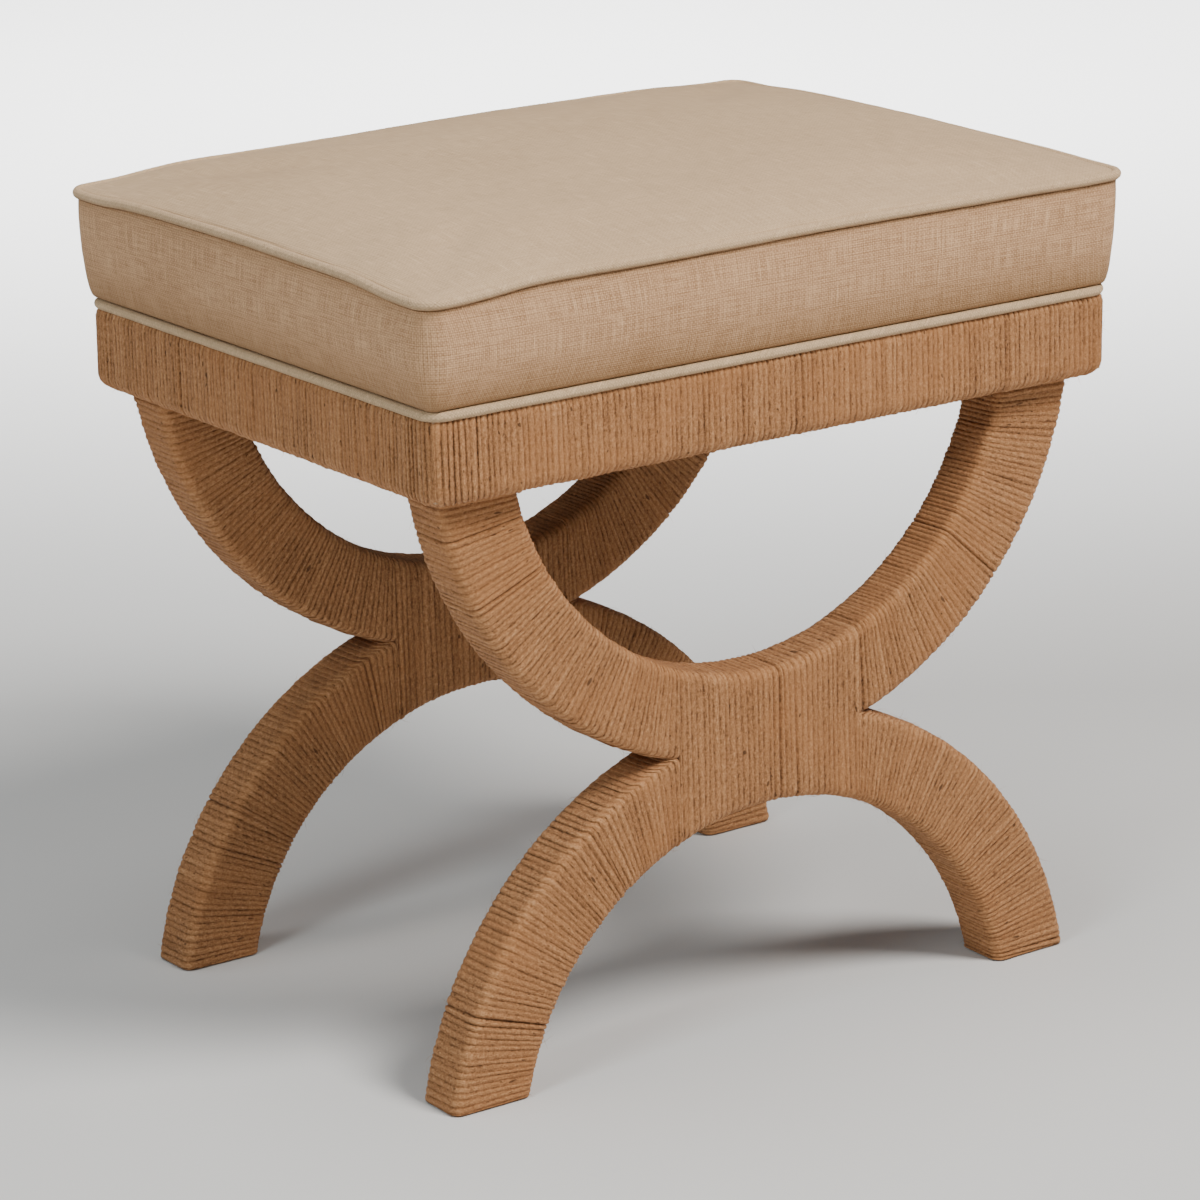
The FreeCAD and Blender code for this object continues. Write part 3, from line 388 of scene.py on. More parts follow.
def windCord(name, node, winding, turns, placeAt, seed, flip=False, loose=None):
    # Point (turn t, part way round s) lies at t + s turns along the run, so each turn ends where the next begins.
    # Its height over the wood is a soft round across every turn, varied by thick and thin places along the cord.
    # Shade is painted: palest on the crown of the cord, with painted shade in the valleys and gaps between turns and
    # a painted highlight where the turns bend over an arris.
    d, tint = cordWinding, cordShade
    fa, fb, na, nb, s, perimeter = sectionColumns(winding)
    k, perTurn, spare = d["rowsPerTurn"], d["perTurn"], d["spareTurns"]
    rng = np.random.default_rng(seed)
    steps = np.arange((turns + 2 * spare) * perTurn)

    def along(table, turn):
        return np.interp((turn + spare) * perTurn, steps, table)

    def scatter(count, rise, length):
        # bells of random height and length at random places
        table = np.zeros(len(steps))
        for place in rng.choice(len(steps), count):
            table += rng.uniform(*rise) * np.exp(-((steps - place) / rng.uniform(*length)) ** 2)
        return table

    wander, thick, slow = (yarnTable(rng, len(steps), width) for width in d["noiseLengths"])
    slub = scatter(int(turns * d["slubEvery"]), d["slubRise"], d["slubLength"])
    gap = scatter(int(turns * d["gapEvery"]) + 1, d["gapDepth"], d["gapLength"])
    if loose is not None:
        gap += loose(steps / perTurn - spare)
    rows = np.arange(-2 * k, (turns + 1) * k + 1)
    turn = np.floor(rows / k)[:, None] + s[None]
    v = (rows % k / k)[:, None]
    low = turn + d["wander"] * along(wander, turn)
    high = turn + 1 + d["wander"] * along(wander, turn + 1)
    position = low + v * (high - low)
    over = np.maximum(np.maximum(-position, position - turns), 0)
    rib = np.sin(np.pi * v) ** d["roundness"]
    beside = np.clip(np.where(v < 0.5, along(gap, turn), along(gap, turn + 1)), 0, 1)
    valley = d["valley"] - d["gapDrop"] * beside
    grow = 1 + d["thickThin"] * along(thick, turn) + along(slub, turn) * rib
    height = np.minimum(grow * (valley + (1 - valley) * rib) - d["sunk"], d["highest"])
    height = d["diameter"] * height * (1 - d["tuck"] * np.minimum(over, 1))
    points = placeAt(np.clip(position, 0, turns) / turns, fa, fb, na, nb, height)
    # painted shade in the valleys and gaps between turns, and a painted highlight where the section bends over an
    # arris
    shade = tint["valley"] + tint["crown"] * rib + tint["arris"] * np.abs(2 * na * nb)
    shade += tint["slow"] * along(slow, turn) + tint["thick"] * along(thick, turn)
    shade -= tint["gap"] * beside * (1 - rib)
    shade -= tint["slub"] * np.clip(along(slub, turn) - tint["slubFrom"], 0, 1)
    # faces: the last column of a turn joins the first column of the next
    count = len(s)
    r, c = np.meshgrid(np.arange(len(rows) - 1), np.arange(count), indexing="ij")
    last = c == count - 1
    rNext = np.where(last, r + k, r)
    keep = (rNext + 1 < len(rows)).ravel()
    nextColumn = np.where(last, 0, c + 1)
    quads = np.stack([r * count + c, rNext * count + nextColumn, (rNext + 1) * count + nextColumn,
                      (r + 1) * count + c], -1).reshape(-1, 4)
    turnOf = np.floor(rows / k)[:-1][r]
    sEnd = np.append(s, 1.0)
    v0 = turnOf + (rows % k / k)[:-1][r]
    uv = uvQuads((turnOf + sEnd[c]) * perimeter, (turnOf + sEnd[c + 1]) * perimeter, v0, v0 + 1 / k)
    quads, uv = quads[keep], uv[keep]
    shown = ~(over.ravel()[quads] >= 1).all(1)
    return addPiece(name, points.reshape(-1, 3), quads[shown], cordMaterial, [node], uv[shown],
                    {"shade": shade.ravel()}, flip)


# press is how far the two windings at a mitre run into each other; the gaps give turns from the end, width and depth
railWinding = {
    "half": (21 * mm, 21 * mm), "arris": 4.6 * mm, "wound": 49 * mm, "middle": 356.5 * mm,
    "bare": (218 * mm, 164 * mm), "corner": 9 * mm, "fanFrom": 0.55, "fanMost": 1.05, "press": 1.0 * mm,
    "pitch": 3.5 * mm, "columns": (11, 11, 4), "startGap": (3.5, 1.6, 0.55), "endGap": (4, 2.0, 0.35),
    "firstSeed": 11, "angles": {"front": 0, "back": 180, "left": -90, "right": 90}}


def railPlace(halfLength, halfWidth, turnAngle):
    # A turn lies in an upright plane through one point of the outer face and one of the inner face. Both run from
    # mitre to mitre: the outer one round the corner, the inner one ever slower, so that the cord fans at the ends.
    d = railWinding
    (halfA, halfB), arris = d["half"], d["arris"]
    outerX, outerY = halfLength + cordWinding["diameter"], halfWidth + cordWinding["diameter"]
    innerX, innerY = outerX - d["wound"], outerY - d["wound"]
    flat = outerX - d["corner"]
    reach = flat + d["corner"] * math.pi / 4
    start = d["fanFrom"] * reach
    slope = (reach - start) / (innerX - start)
    cosTurn, sinTurn = math.cos(turnAngle), math.sin(turnAngle)

    def placeAt(w, fa, fb, na, nb, height):
        run = (2 * w - 1) * (reach + d["press"])
        size, side = np.abs(run), np.sign(run)
        bend = np.clip(size - flat, 0, None) / d["corner"]
        ox = np.minimum(size, flat) + d["corner"] * np.sin(bend)
        oy = -outerY + d["corner"] * (1 - np.cos(bend))
        f = np.clip((size - start) / (reach - start), 0, d["fanMost"])
        ix = np.where(size < start, size, start + (innerX - start) * (slope * f + (1 - slope) * f ** 2))
        inward = overWood(fa, na, halfA, arris, height) / d["wound"] + 0.5
        x = side * (ox + (ix - ox) * inward)
        y = oy + (-innerY - oy) * inward
        z = d["middle"] + overWood(fb, nb, halfB, arris, height)
        return np.stack([cosTurn * x - sinTurn * y, sinTurn * x + cosTurn * y, z], -1)

    return placeAt, 2 * reach


def looseEnds(turns):
    # the turns lie less tight near both mitres: a bell for each end
    (first, firstWide, firstDeep), (last, lastWide, lastDeep) = railWinding["startGap"], railWinding["endGap"]

    def loose(turn):
        ahead = firstDeep * np.exp(-((turn - first) / firstWide) ** 2)
        return ahead + lastDeep * np.exp(-((turn - turns + last) / lastWide) ** 2)

    return loose


railCords, frameCords = [], []
for seed, (side, angle) in enumerate(railWinding["angles"].items(), railWinding["firstSeed"]):
    bare = railWinding["bare"] if side in ("front", "back") else railWinding["bare"][::-1]
    placeAt, length = railPlace(*bare, math.radians(angle))
    turns = int(round(length / railWinding["pitch"]))
    railCords.append(windCord(f"{side}RailCord", f"{side}_rail_wrap", railWinding, turns, placeAt, seed,
                              loose=looseEnds(turns)))
print("rails wound")

limbWinding = {
    "half": (21 * mm, 13 * mm), "arris": 2.4 * mm, "middleRadius": 186.5 * mm, "centre": 200 * mm, "hub": 166 * mm,
    "band": 60 * mm, "armTop": 332 * mm, "foot": 0.9 * mm, "plane": 135 * mm, "turns": 61, "lean": 3,
    "columns": (14, 9, 4), "firstSeed": 31}


def limbPlace(front, right, up):
    # A turn lies in a plane through the bow's centre. Near both ends it leans over, to end on the hub band, on the
    # rail or on the floor: its angle at each radius there is that of the end's own line.
    d = limbWinding
    endDrop = d["centre"] - (d["armTop"] - d["hub"]) if up else d["centre"] - (d["hub"] - d["foot"])

    def startAngle(radius):
        return np.maximum(np.arcsin(d["band"] / radius), np.arccos(np.minimum(1, d["centre"] / radius)))

    def endAngle(radius):
        return np.arccos(endDrop / radius)

    def placeAt(w, fa, fb, na, nb, height):
        radius = d["middleRadius"] + overWood(fa, na, d["half"][0], d["arris"], height)
        y = overWood(fb, nb, d["half"][1], d["arris"], height)
        first, last = startAngle(d["middleRadius"]), endAngle(d["middleRadius"])
        angle = first + (last - first) * w + (startAngle(radius) - first) * (1 - w) ** d["lean"]
        angle = angle + (endAngle(radius) - last) * w ** d["lean"]
        x = radius * np.sin(angle)
        rise = d["centre"] - radius * np.cos(angle)
        return np.stack([x if right else -x, (-d["plane"] if front else d["plane"]) + y,
                         d["hub"] + (rise if up else -rise)], -1)

    return placeAt


limbs = [(end, hand, limb) for end in ("front", "back") for hand in ("left", "right") for limb in ("arm", "leg")]
for seed, (end, hand, limb) in enumerate(limbs, limbWinding["firstSeed"]):
    right, up = hand == "right", limb == "arm"
    frameCords.append(windCord(f"{end}{hand.title()}{limb.title()}Cord", f"{end}_{hand}_{limb}_wrap", limbWinding,
                               limbWinding["turns"], limbPlace(end == "front", right, up), seed, flip=right != up))
print("limbs wound")

hubWinding = {
    "half": (13 * mm, 38 * mm), "arris": 2.4 * mm, "inner": 165.5 * mm, "turns": 33, "columns": (8, 18, 4),
    "firstSeed": 60}


def hubPlace(front):
    # upright turns: at each x the section reaches from the lower bow's inner arc to the upper bow's
    d, bow = hubWinding, limbWinding

    def placeAt(w, fa, fb, na, nb, height):
        x = (2 * w - 1) * bow["band"]
        tall = bow["centre"] - np.sqrt(d["inner"] ** 2 - x ** 2)
        y = overWood(fa, na, d["half"][0], d["arris"], height)
        z = overWood(fb, nb, tall, d["arris"], height)
        return np.stack([x + 0 * y, (-bow["plane"] if front else bow["plane"]) + y, bow["hub"] + z], -1)

    return placeAt


for seed, end in enumerate(("front", "back"), hubWinding["firstSeed"]):
    frameCords.append(windCord(f"{end}HubCord", f"{end}_hub_wrap", hubWinding, hubWinding["turns"],
                               hubPlace(end == "front"), seed))
print("hubs wound")

strayFibres = {
    "every": 55, "length": (3.0 * mm, 8.0 * mm), "lift": (0.5 * mm, 1.9 * mm), "thick": 0.075 * mm,
    "steps": (0, 0.45, 1.0), "curl": 0.3, "arch": 1.7, "root": 0.2 * mm, "taper": 0.75, "clear": 0.4 * mm,
    "shade": 0.85, "yarnSpan": 40}


def growFibres(name, cords, seed):
    # A fibre leaves the cord, bows over and ends thin: a closed four-sided tube along start + tangent * t +
    # normal * rise(t), where rise grows fast and then levels out. Starts are picked among the windings' own points.
    d = strayFibres
    rng = np.random.default_rng(seed)
    starts, normals = [], []
    for cord in cords:
        size = len(cord.data.vertices)
        places = np.empty(size * 3, np.float32)
        facing = places.copy()
        cord.data.vertices.foreach_get("co", places)
        cord.data.vertices.foreach_get("normal", facing)
        pick = rng.choice(size, size // d["every"], replace=False)
        starts.append(places.reshape(-1, 3)[pick])
        normals.append(facing.reshape(-1, 3)[pick])
    start, normal = np.concatenate(starts)[:, None, None], np.concatenate(normals)[:, None, None]
    count = len(start)
    tangent = rng.normal(size=(count, 1, 1, 3))
    tangent = tangent - (tangent * normal).sum(-1, keepdims=True) * normal
    tangent = tangent / np.linalg.norm(tangent, axis=-1, keepdims=True)
    side = np.cross(normal, tangent)
    t = np.array(d["steps"])[None, :, None, None]
    length = rng.uniform(*d["length"], (count, 1, 1, 1))
    lift = rng.uniform(*d["lift"], (count, 1, 1, 1))
    bend = rng.normal(size=(count, 1, 1, 1)) * d["curl"]
    rise = lift * t * (d["arch"] - t) - d["root"] * (t == 0)
    line = start + (tangent * t + side * bend * t ** 2) * length + normal * rise
    angle = (np.arange(4) * math.pi / 2)[None, None, :, None]
    points = line + (side * np.cos(angle) + normal * np.sin(angle)) * d["thick"] * (1 - d["taper"] * t)
    points[..., 2] = np.maximum(points[..., 2], d["clear"])
    quads = np.vstack([gridQuads(3, 4, True), [[8, 9, 10, 11], [3, 2, 1, 0]]])  # the tube and its two ends
    uv = np.repeat(np.repeat(rng.uniform(0, d["yarnSpan"], (count, 1, 2)), len(quads), 0), 4, 1)
    points = points.reshape(-1, 3)
    quads = (quads[None] + np.arange(count)[:, None, None] * (len(points) // count)).reshape(-1, 4)
    shade = np.full(len(points), d["shade"])
    return addPiece(name, points, quads, cordMaterial, (), uv, {"shade": shade})


growFibres("railFibres", railCords, seed=81)
growFibres("frameFibres", frameCords, seed=82)
print("stray fibres grown")


# seat cushion: bottom, boxing and top in one closed form

# droop is the seam's drop at the front and the back corners, left then right; waves give depth, reach and phase
cushion = {
    "half": (224.0 * mm, 170.0 * mm), "corner": 8 * mm, "draw": 2.2 * mm, "floor": 381.3 * mm, "seam": 442.4 * mm,
    "lean": 4.6 * mm, "droop": ((4.5 * mm, 1.6 * mm), (3.8 * mm, 3.0 * mm)), "droopReach": 50 * mm,
    "seamWaves": ((0.45 * mm, 37 * mm, 0.6), (0.40 * mm, 31 * mm, 1.0)), "rim": 0.9 * mm, "foldTop": 1.7 * mm,
    "roll": 8.0 * mm, "rollReach": 16 * mm, "dome": 2.6 * mm, "crownWaves": (0.35 * mm, 46 * mm, 39 * mm),
    "counts": (56, 42, 6), "pressure": 0.5, "most": 3.5 * mm, "frames": 20}
# the boxing in millimetres: its profile, the levels of its rings, how much painted shade it carries at some levels,
# and the rows of the fold behind the piping (out, rise, panel, painted shade)
boxing = {
    "heights": (381, 381.8, 382.8, 384, 387, 393, 402, 413, 424, 432, 438),
    "standOut": (-6.5, -6.0, -3.8, -2.2, -0.6, 1.4, 3.4, 4.7, 4.5, 3.7, 2.6),
    "levels": (381, 382, 382.9, 384, 386, 389, 393, 398, 404, 411, 418, 425, 430, 434, 436.5, 438),
    "paintedShadeAt": (382.9, 384, 386, 389, 393, 398, 404, 411, 430, 434, 436.5, 438),
    "paintedShade": (1, 0.78, 0.66, 0.55, 0.43, 0.28, 0.11, 0, 0, 0.04, 0.16, 0.45),
    "fold": ((1.8, -2.6, 1, 0.9), (0.2, -2.0, 1, 1), (-0.6, -0.6, 0.5, 1), (-0.2, 0.9, 0, 0.4), (0.8, 1.7, 0, 0)),
    "sewnUnder": 385, "sewnOver": 437, "belowSeam": 3.0, "fullCorner": 6}


def cushionRing(halfX, halfY, radius, draw, counts):
    # Four sides run counterclockwise from one corner's middle to the next: an eighth of a circle, a straight run that
    # bows in by draw at its middle, and another eighth. Points stand at the same parts of a side whatever the radius.
    alongX, alongY, perCorner = counts
    points, normals = [], []
    for q, (reach, span, count) in enumerate(((halfX, halfY, alongY), (halfY, halfX, alongX)) * 2):
        bend = np.linspace(0, math.pi / 4, perCorner // 2 + 1)
        angle = np.concatenate([-bend[:0:-1], np.zeros(count + 1), bend[1:-1]])
        part = np.clip((np.arange(count + perCorner) - perCorner // 2) / count * 2 - 1, -1, 1)
        out = reach - radius + radius * np.cos(angle) - draw * np.cos(part * math.pi / 2) ** 2
        side = part * (span - radius) + radius * np.sin(angle)
        cosTurn, sinTurn = math.cos(q * math.pi / 2), math.sin(q * math.pi / 2)
        points.append(np.column_stack([out * cosTurn - side * sinTurn, out * sinTurn + side * cosTurn]))
        normals.append(np.column_stack([np.cos(angle + q * math.pi / 2), np.sin(angle + q * math.pi / 2)]))
    return np.concatenate(points), np.concatenate(normals)


def runAlong(path):
    # length along a closed path at each point, and all round
    step = np.hypot(*(np.roll(path, -1, 0) - path).T)
    return np.concatenate([[0], np.cumsum(step)[:-1]]), step.sum()


def seamHeight(flat):
    # The seam is lowest along the front and left sides and leans up to the other two, as the foam has settled. It
    # waves a little and drops round each corner, most at the front left one.
    x, y = flat[..., 0], flat[..., 1]
    halfX, halfY = cushion["half"]
    part = np.clip((x / halfX + y / halfY + 1) / 2, 0, 1)
    lean = cushion["lean"] * part * part * (3 - 2 * part)
    far = np.hypot(halfX - np.abs(x), halfY - np.abs(y))
    droop = np.array(cushion["droop"])[(y > 0).astype(int), (x > 0).astype(int)]
    wave = sum(deep * np.sin(way / reach + phase) for way, (deep, reach, phase) in zip((x, y), cushion["seamWaves"]))
    return cushion["seam"] + lean - droop * np.exp(-(far / cushion["droopReach"]) ** 3) + wave


def fillRing(ring, rim, first, alongX, alongY):
    # A grid whose border is the ring: inside, each point lies between its four border points (a Coons patch).
    count = len(rim)
    i, j = np.arange(alongX + 1), np.arange(alongY + 1)
    south, east = (2 * alongY + alongX + i) % count, j
    north, west = alongY + alongX - i, 2 * alongY + alongX - j
    index = np.zeros((alongX + 1, alongY + 1), int)
    index[1:-1, 1:-1] = first + np.arange((alongX - 1) * (alongY - 1)).reshape(alongX - 1, alongY - 1)
    index[:, 0], index[-1], index[:, -1], index[0] = ring[south], ring[east], ring[north], ring[west]
    u, v = (i / alongX)[:, None, None], (j / alongY)[None, :, None]
    flat = (1 - v) * rim[south][:, None] + v * rim[north][:, None] + (1 - u) * rim[west][None] + u * rim[east][None]
    flat = flat - (1 - u) * ((1 - v) * rim[south[0]] + v * rim[north[0]])
    flat = flat - u * ((1 - v) * rim[south[-1]] + v * rim[north[-1]])
    quads = np.stack([index[:-1, :-1], index[1:, :-1], index[1:, 1:], index[:-1, 1:]], -1).reshape(-1, 4)
    return flat[1:-1, 1:-1].reshape(-1, 2), quads


def crownHeight(flat):
    # over the seam the top rolls up within a few centimetres of each edge and then domes towards the middle
    d = cushion
    inX, inY = (np.clip(h + d["rim"] - np.abs(flat[:, k]), 0, None) for k, h in enumerate(d["half"]))
    roll = (1 - np.exp(-inX / d["rollReach"])) * (1 - np.exp(-inY / d["rollReach"]))
    dome = 1 - (flat[:, 0] / d["half"][0]) ** 2 * 0.5 - (flat[:, 1] / d["half"][1]) ** 2 * 0.5
    deep, reachX, reachY = d["crownWaves"]
    wave = deep * np.sin(flat[:, 0] / reachX + 1) * np.sin(flat[:, 1] / reachY)
    return seamHeight(flat) + d["foldTop"] + roll * (d["roll"] + d["dome"] * dome + wave)


def makeCushion():
    # Rings one above another follow the boxing: tucked in over the welt, out to its fullest at mid height, in at the
    # seam, where the cloth folds behind the piping. A grid closes the underside and the crowned top.
    half, draw, counts, low = cushion["half"], cushion["draw"], cushion["counts"], cushion["floor"]
    levels, corner, swell = boxing["levels"], cushion["corner"], boxing["fullCorner"] * mm
    alongX, alongY = counts[0] + counts[2], counts[1] + counts[2]
    rows, uvs, panels, paintedShades, kept = [], [], [], [], []
    middle, normal = cushionRing(*half, corner, draw, counts)
    fullest, outward = cushionRing(*half, corner + swell, draw * 0.5, counts)
    run, total = runAlong(fullest + outward * max(boxing["standOut"]) * mm)
    seam = seamHeight(middle)

    def addRow(ring, z, panel, paintedShade, sewn):
        rows.append(np.column_stack([ring, z]))
        uvs.append(np.column_stack([run, z]))
        panels.append(panel)
        paintedShades.append(paintedShade)
        kept.append(sewn)

    for level in levels:
        w = (level - levels[0]) / (levels[-1] - levels[0])
        ring, facing = cushionRing(*half, corner + swell * math.sin(math.pi * w), draw * w, counts)
        out = np.interp(level, boxing["heights"], boxing["standOut"]) * mm
        # painted shade: darkest at the welt, fading up the side wall's lower third, and rising again towards the seam
        paintedShade = np.interp(level, boxing["paintedShadeAt"], boxing["paintedShade"])
        sewn = level < boxing["sewnUnder"] or level > boxing["sewnOver"]
        addRow(ring + facing * out, low + (seam - boxing["belowSeam"] * mm - low) * w, 1, paintedShade, sewn)
    for out, rise, panel, paintedShade in boxing["fold"]:
        addRow(middle + normal * out * mm, seam + rise * mm, panel, paintedShade, True)
    count = len(run)
    ringCount = len(rows) * count
    quads = gridQuads(len(rows), count, True)
    uv = np.concatenate(uvs)[quads]
    uv[(quads[:, 0] % count == count - 1), 1:3, 0] += total  # the boxing's cloth runs on past the last column
    topRing = np.arange(ringCount - count, ringCount)
    topFlat, topQuads = fillRing(topRing, rows[-1][:, :2], ringCount, alongX, alongY)
    lowFlat, lowQuads = fillRing(np.arange(count), rows[0][:, :2], ringCount + len(topFlat), alongX, alongY)
    points = np.vstack([*rows, np.column_stack([topFlat, crownHeight(topFlat)]),
                        np.column_stack([lowFlat, np.full(len(lowFlat), low)])])
    lowQuads = lowQuads[:, ::-1]
    quads = np.vstack([quads, topQuads, lowQuads])
    uv = np.concatenate([uv, points[topQuads][..., :2], points[lowQuads][..., :2]])
    inside = np.zeros(len(topFlat) + len(lowFlat))
    values = {"panel": np.concatenate([np.repeat(panels, count), inside]),
              "paintedShade": np.concatenate([np.repeat(paintedShades, count), inside])}
    sewn = np.concatenate([np.repeat(kept, count), np.zeros(len(topFlat)), np.ones(len(lowFlat))])
    return points, quads, uv, values, np.flatnonzero(sewn)


def swellCushion(piece, sewn):
    # the covers swell under a light pressure between the sewn lines, and no point moves more than the given most
    before = np.empty(len(piece.data.vertices) * 3, np.float32)
    after = before.copy()
    piece.data.vertices.foreach_get("co", before)
    piece.vertex_groups.new(name="sewn").add(sewn.tolist(), 1.0, "REPLACE")
    cloth = piece.modifiers.new("swell", "CLOTH")
    cloth.settings.vertex_group_mass = "sewn"
    cloth.settings.use_pressure = True
    cloth.settings.uniform_pressure_force = cushion["pressure"]
    cloth.settings.effector_weights.gravity = 0
    cloth.point_cache.frame_end = cushion["frames"]
    for number in range(1, cushion["frames"] + 1):
        bpy.context.scene.frame_set(number)
    swollen = piece.evaluated_get(bpy.context.evaluated_depsgraph_get())
    swollen.data.vertices.foreach_get("co", after)
    piece.modifiers.remove(cloth)
    bpy.context.scene.frame_set(1)
    moved = (after - before).reshape(-1, 3)
    size = np.maximum(np.linalg.norm(moved, axis=1), 1e-9)[:, None]
    moved = moved * cushion["most"] * np.tanh(size / cushion["most"]) / size
    piece.data.vertices.foreach_set("co", (before.reshape(-1, 3) + moved).ravel())
    piece.data.update()
    print("cushion swelled, most", round(float(size.max()) / mm, 2), "mm before the limit")


points, quads, uv, values, sewn = makeCushion()
seatCushion = addPiece("seatCushion", points, quads, coverLinen,
                       ["seat_foam", "seat_boxing", "seat_top_cover"], uv, values)
swellCushion(seatCushion, sewn)
smooth = seatCushion.modifiers.new("smooth", "SUBSURF")
smooth.levels = smooth.render_levels = 1
print("cushion made")

# for both tubes: waves round the path, and how painted shade darkens the lower side
sewnTube = {
    "waves": (23, 41, 67), "waveDepth": 0.035, "around": 12, "counts": (144, 108, 12), "shadeFrom": 0.25,
    "shadeTurn": 0.35, "bias": 0.7071}


def tubeRing(name, path, normal, lift, tube, material, nodes):
    # a round cord sewn into cloth: a circle carried along a closed path, with small waves along it
    d = sewnTube
    rng = np.random.default_rng(tube["seed"])
    count, around, radius = len(path), d["around"], tube["radius"]
    run, total = runAlong(path)
    phases = rng.uniform(0, 6.28, len(d["waves"]))
    wave = sum(np.sin(2 * np.pi * k * run / total + p) for k, p in zip(d["waves"], phases)) / len(d["waves"])
    angle = np.arange(around) * 2 * math.pi / around
    size = radius * (1 + d["waveDepth"] * wave)[:, None]
    out, rise = size * np.cos(angle), size * np.sin(angle)
    flat = path[:, None] + normal[:, None] * out[..., None]
    ring = np.concatenate([flat, (lift[:, None] + rise)[..., None]], -1)
    quads = gridQuads(count + 1, around, True) % (count * around)
    r, c = np.meshgrid(np.arange(count), np.arange(around), indexing="ij")
    runs = np.append(run, total)
    part = 2 * math.pi * radius / around
    uv = uvQuads(runs[r], runs[r + 1], c * part, (c + 1) * part)
    uv[:, [1, 3]] = uv[:, [3, 1]]  # here a face's second corner lies round the tube, its last one along it
    uv = uv @ (d["bias"] * np.array([[1, 1], [-1, 1]]))  # cut on the bias
    # painted shade on the tube's lower side, from about its middle downwards
    shadow = tube["paintedShade"] * np.clip(d["shadeFrom"] - np.sin(angle + d["shadeTurn"]), 0, 1)
    return addPiece(name, ring.reshape(-1, 3), quads, material, nodes, uv,
                    {"paintedShade": np.broadcast_to(shadow, (count, around)).ravel()}, flip=True)


piping = {"radius": 2.7 * mm, "out": 2.7 * mm, "seed": 5, "paintedShade": 0.8}
path, normal = cushionRing(*(h + piping["out"] for h in cushion["half"]), cushion["corner"] + piping["out"],
                           cushion["draw"], sewnTube["counts"])
tubeRing("topPiping", path, normal, seamHeight(path), piping, coverLinen, ["top_piping"])
welt = {
    "radius": 2.75 * mm, "half": (220.1 * mm, 166.1 * mm), "corner": 10 * mm, "height": 380.0 * mm, "seed": 6,
    "paintedShade": 0.4}
path, normal = cushionRing(*welt["half"], welt["corner"], 0.0, sewnTube["counts"])
tubeRing("baseWelt", path, normal, np.full(len(path), welt["height"]), welt, weltLinen, ["base_welt"])
print("piping and welt made")


# underside: the dust cover, its staples and the cleats' screws

dustSheet = {
    "flat": (341 * mm, 233 * mm), "level": 380.7 * mm, "sag": 3.0 * mm, "cells": (68, 46),
    "clamped": (156 * mm, 102 * mm), "ripple": (0.25 * mm, 9 * mm, 9)}


def dustHeight(flat):
    # flat where the cleats hold it, and a shallow sag between them that fades as a parabola each way
    s, t = (np.clip(1 - np.abs(flat[..., k]) / h, 0, 1) for k, h in enumerate(dustSheet["clamped"]))
    deep, reach, fade = dustSheet["ripple"]
    ripple = deep * np.sin(flat[..., 0] / reach) * np.exp(-t * fade) * (t > 0)
    return dustSheet["level"] - dustSheet["sag"] * (2 * s - s * s) * (2 * t - t * t) + ripple * s


acrossX, acrossY = (np.linspace(-0.5, 0.5, cells + 1) * size
                    for cells, size in zip(dustSheet["cells"], dustSheet["flat"]))
flat = np.stack(np.meshgrid(acrossX, acrossY, indexing="ij"), -1).reshape(-1, 2)
quads = gridQuads(len(acrossX), len(acrossY), False)
dustCover = addPiece("dustCover", np.column_stack([flat, dustHeight(flat)]), quads, dustCloth,
                     ["dust_cover"], flat[quads])

# along is a share of the staple's length, drop is in millimetres; places counts the staples of each line
staples = {
    "long": 11 * mm, "wire": (0.55 * mm, 0.3 * mm), "line": (151 * mm, 97 * mm), "every": 36 * mm,
    "along": (-0.5, -0.5, -0.46, 0.46, 0.5, 0.5), "drop": (2.0, 0.1, -0.25, -0.25, 0.1, 2.0), "sides": 6,
    "places": (8, 5)}


def makeStaples():
    # one staple is a six-sided wire carried along a crown with two legs; copies stand in a line along each cleat
    d = staples
    along, drop = np.array(d["along"]) * d["long"], np.array(d["drop"]) * mm
    angle = np.arange(d["sides"]) * 2 * math.pi / d["sides"]
    ahead, fall = np.gradient(along), np.gradient(drop)
    size = np.hypot(ahead, fall)
    wide, thick = d["wire"][0] * np.cos(angle), d["wire"][1] * np.sin(angle)
    ring = np.stack([along[:, None] - (fall / size)[:, None] * thick, wide + 0 * along[:, None],
                     drop[:, None] + (ahead / size)[:, None] * thick], -1).reshape(-1, 3)
    caps = [[3, 2, 1, 0], [5, 4, 3, 0], [30, 31, 32, 33], [30, 33, 34, 35]]  # two faces close each end
    quads = np.vstack([gridQuads(len(along), d["sides"], True), caps])
    rowX, rowY = ((np.arange(count) - (count - 1) / 2) * d["every"] for count in d["places"])
    lineX, lineY = d["line"]
    places = np.array([(x, side * lineY, 0) for x in rowX for side in (-1, 1)]
                      + [(side * lineX, y, 1) for y in rowY for side in (-1, 1)])
    turned = np.where(places[:, 2, None, None] > 0, ring[:, [1, 0, 2]] * [-1, 1, 1], ring)
    points = turned + np.column_stack([places[:, :2], dustHeight(places[:, :2])])[:, None]
    allQuads = (quads[None] + np.arange(len(places))[:, None, None] * len(ring)).reshape(-1, 4)
    return addPiece("dustStaples", points.reshape(-1, 3), allQuads, steel)


makeStaples()

# the head's profile as shares of its radius and rise, and how deep the cross is cut; then the places along each cleat
screws = {
    "head": 3.6 * mm, "rise": 1.5 * mm, "sides": 16, "radii": (1.0, 0.97, 0.8, 0.58, 0.3, 0.06),
    "rises": (0.0, 0.45, 0.8, 0.95, 1.0, 1.0), "cuts": (0, 0, 0, 0.75, 0.95, 0.95), "arms": (1.0, 0.35, 0.0, 0.35),
    "boss": 0.2, "spin": 1.3, "underZ": 362.2 * mm, "faceZ": 371 * mm, "underLine": (164.5 * mm, 110.5 * mm),
    "faceLine": (156.5 * mm, 102.5 * mm), "longUnder": (-95 * mm, 0, 95 * mm), "shortUnder": (-50 * mm, 50 * mm),
    "longFace": (-60 * mm, 60 * mm)}


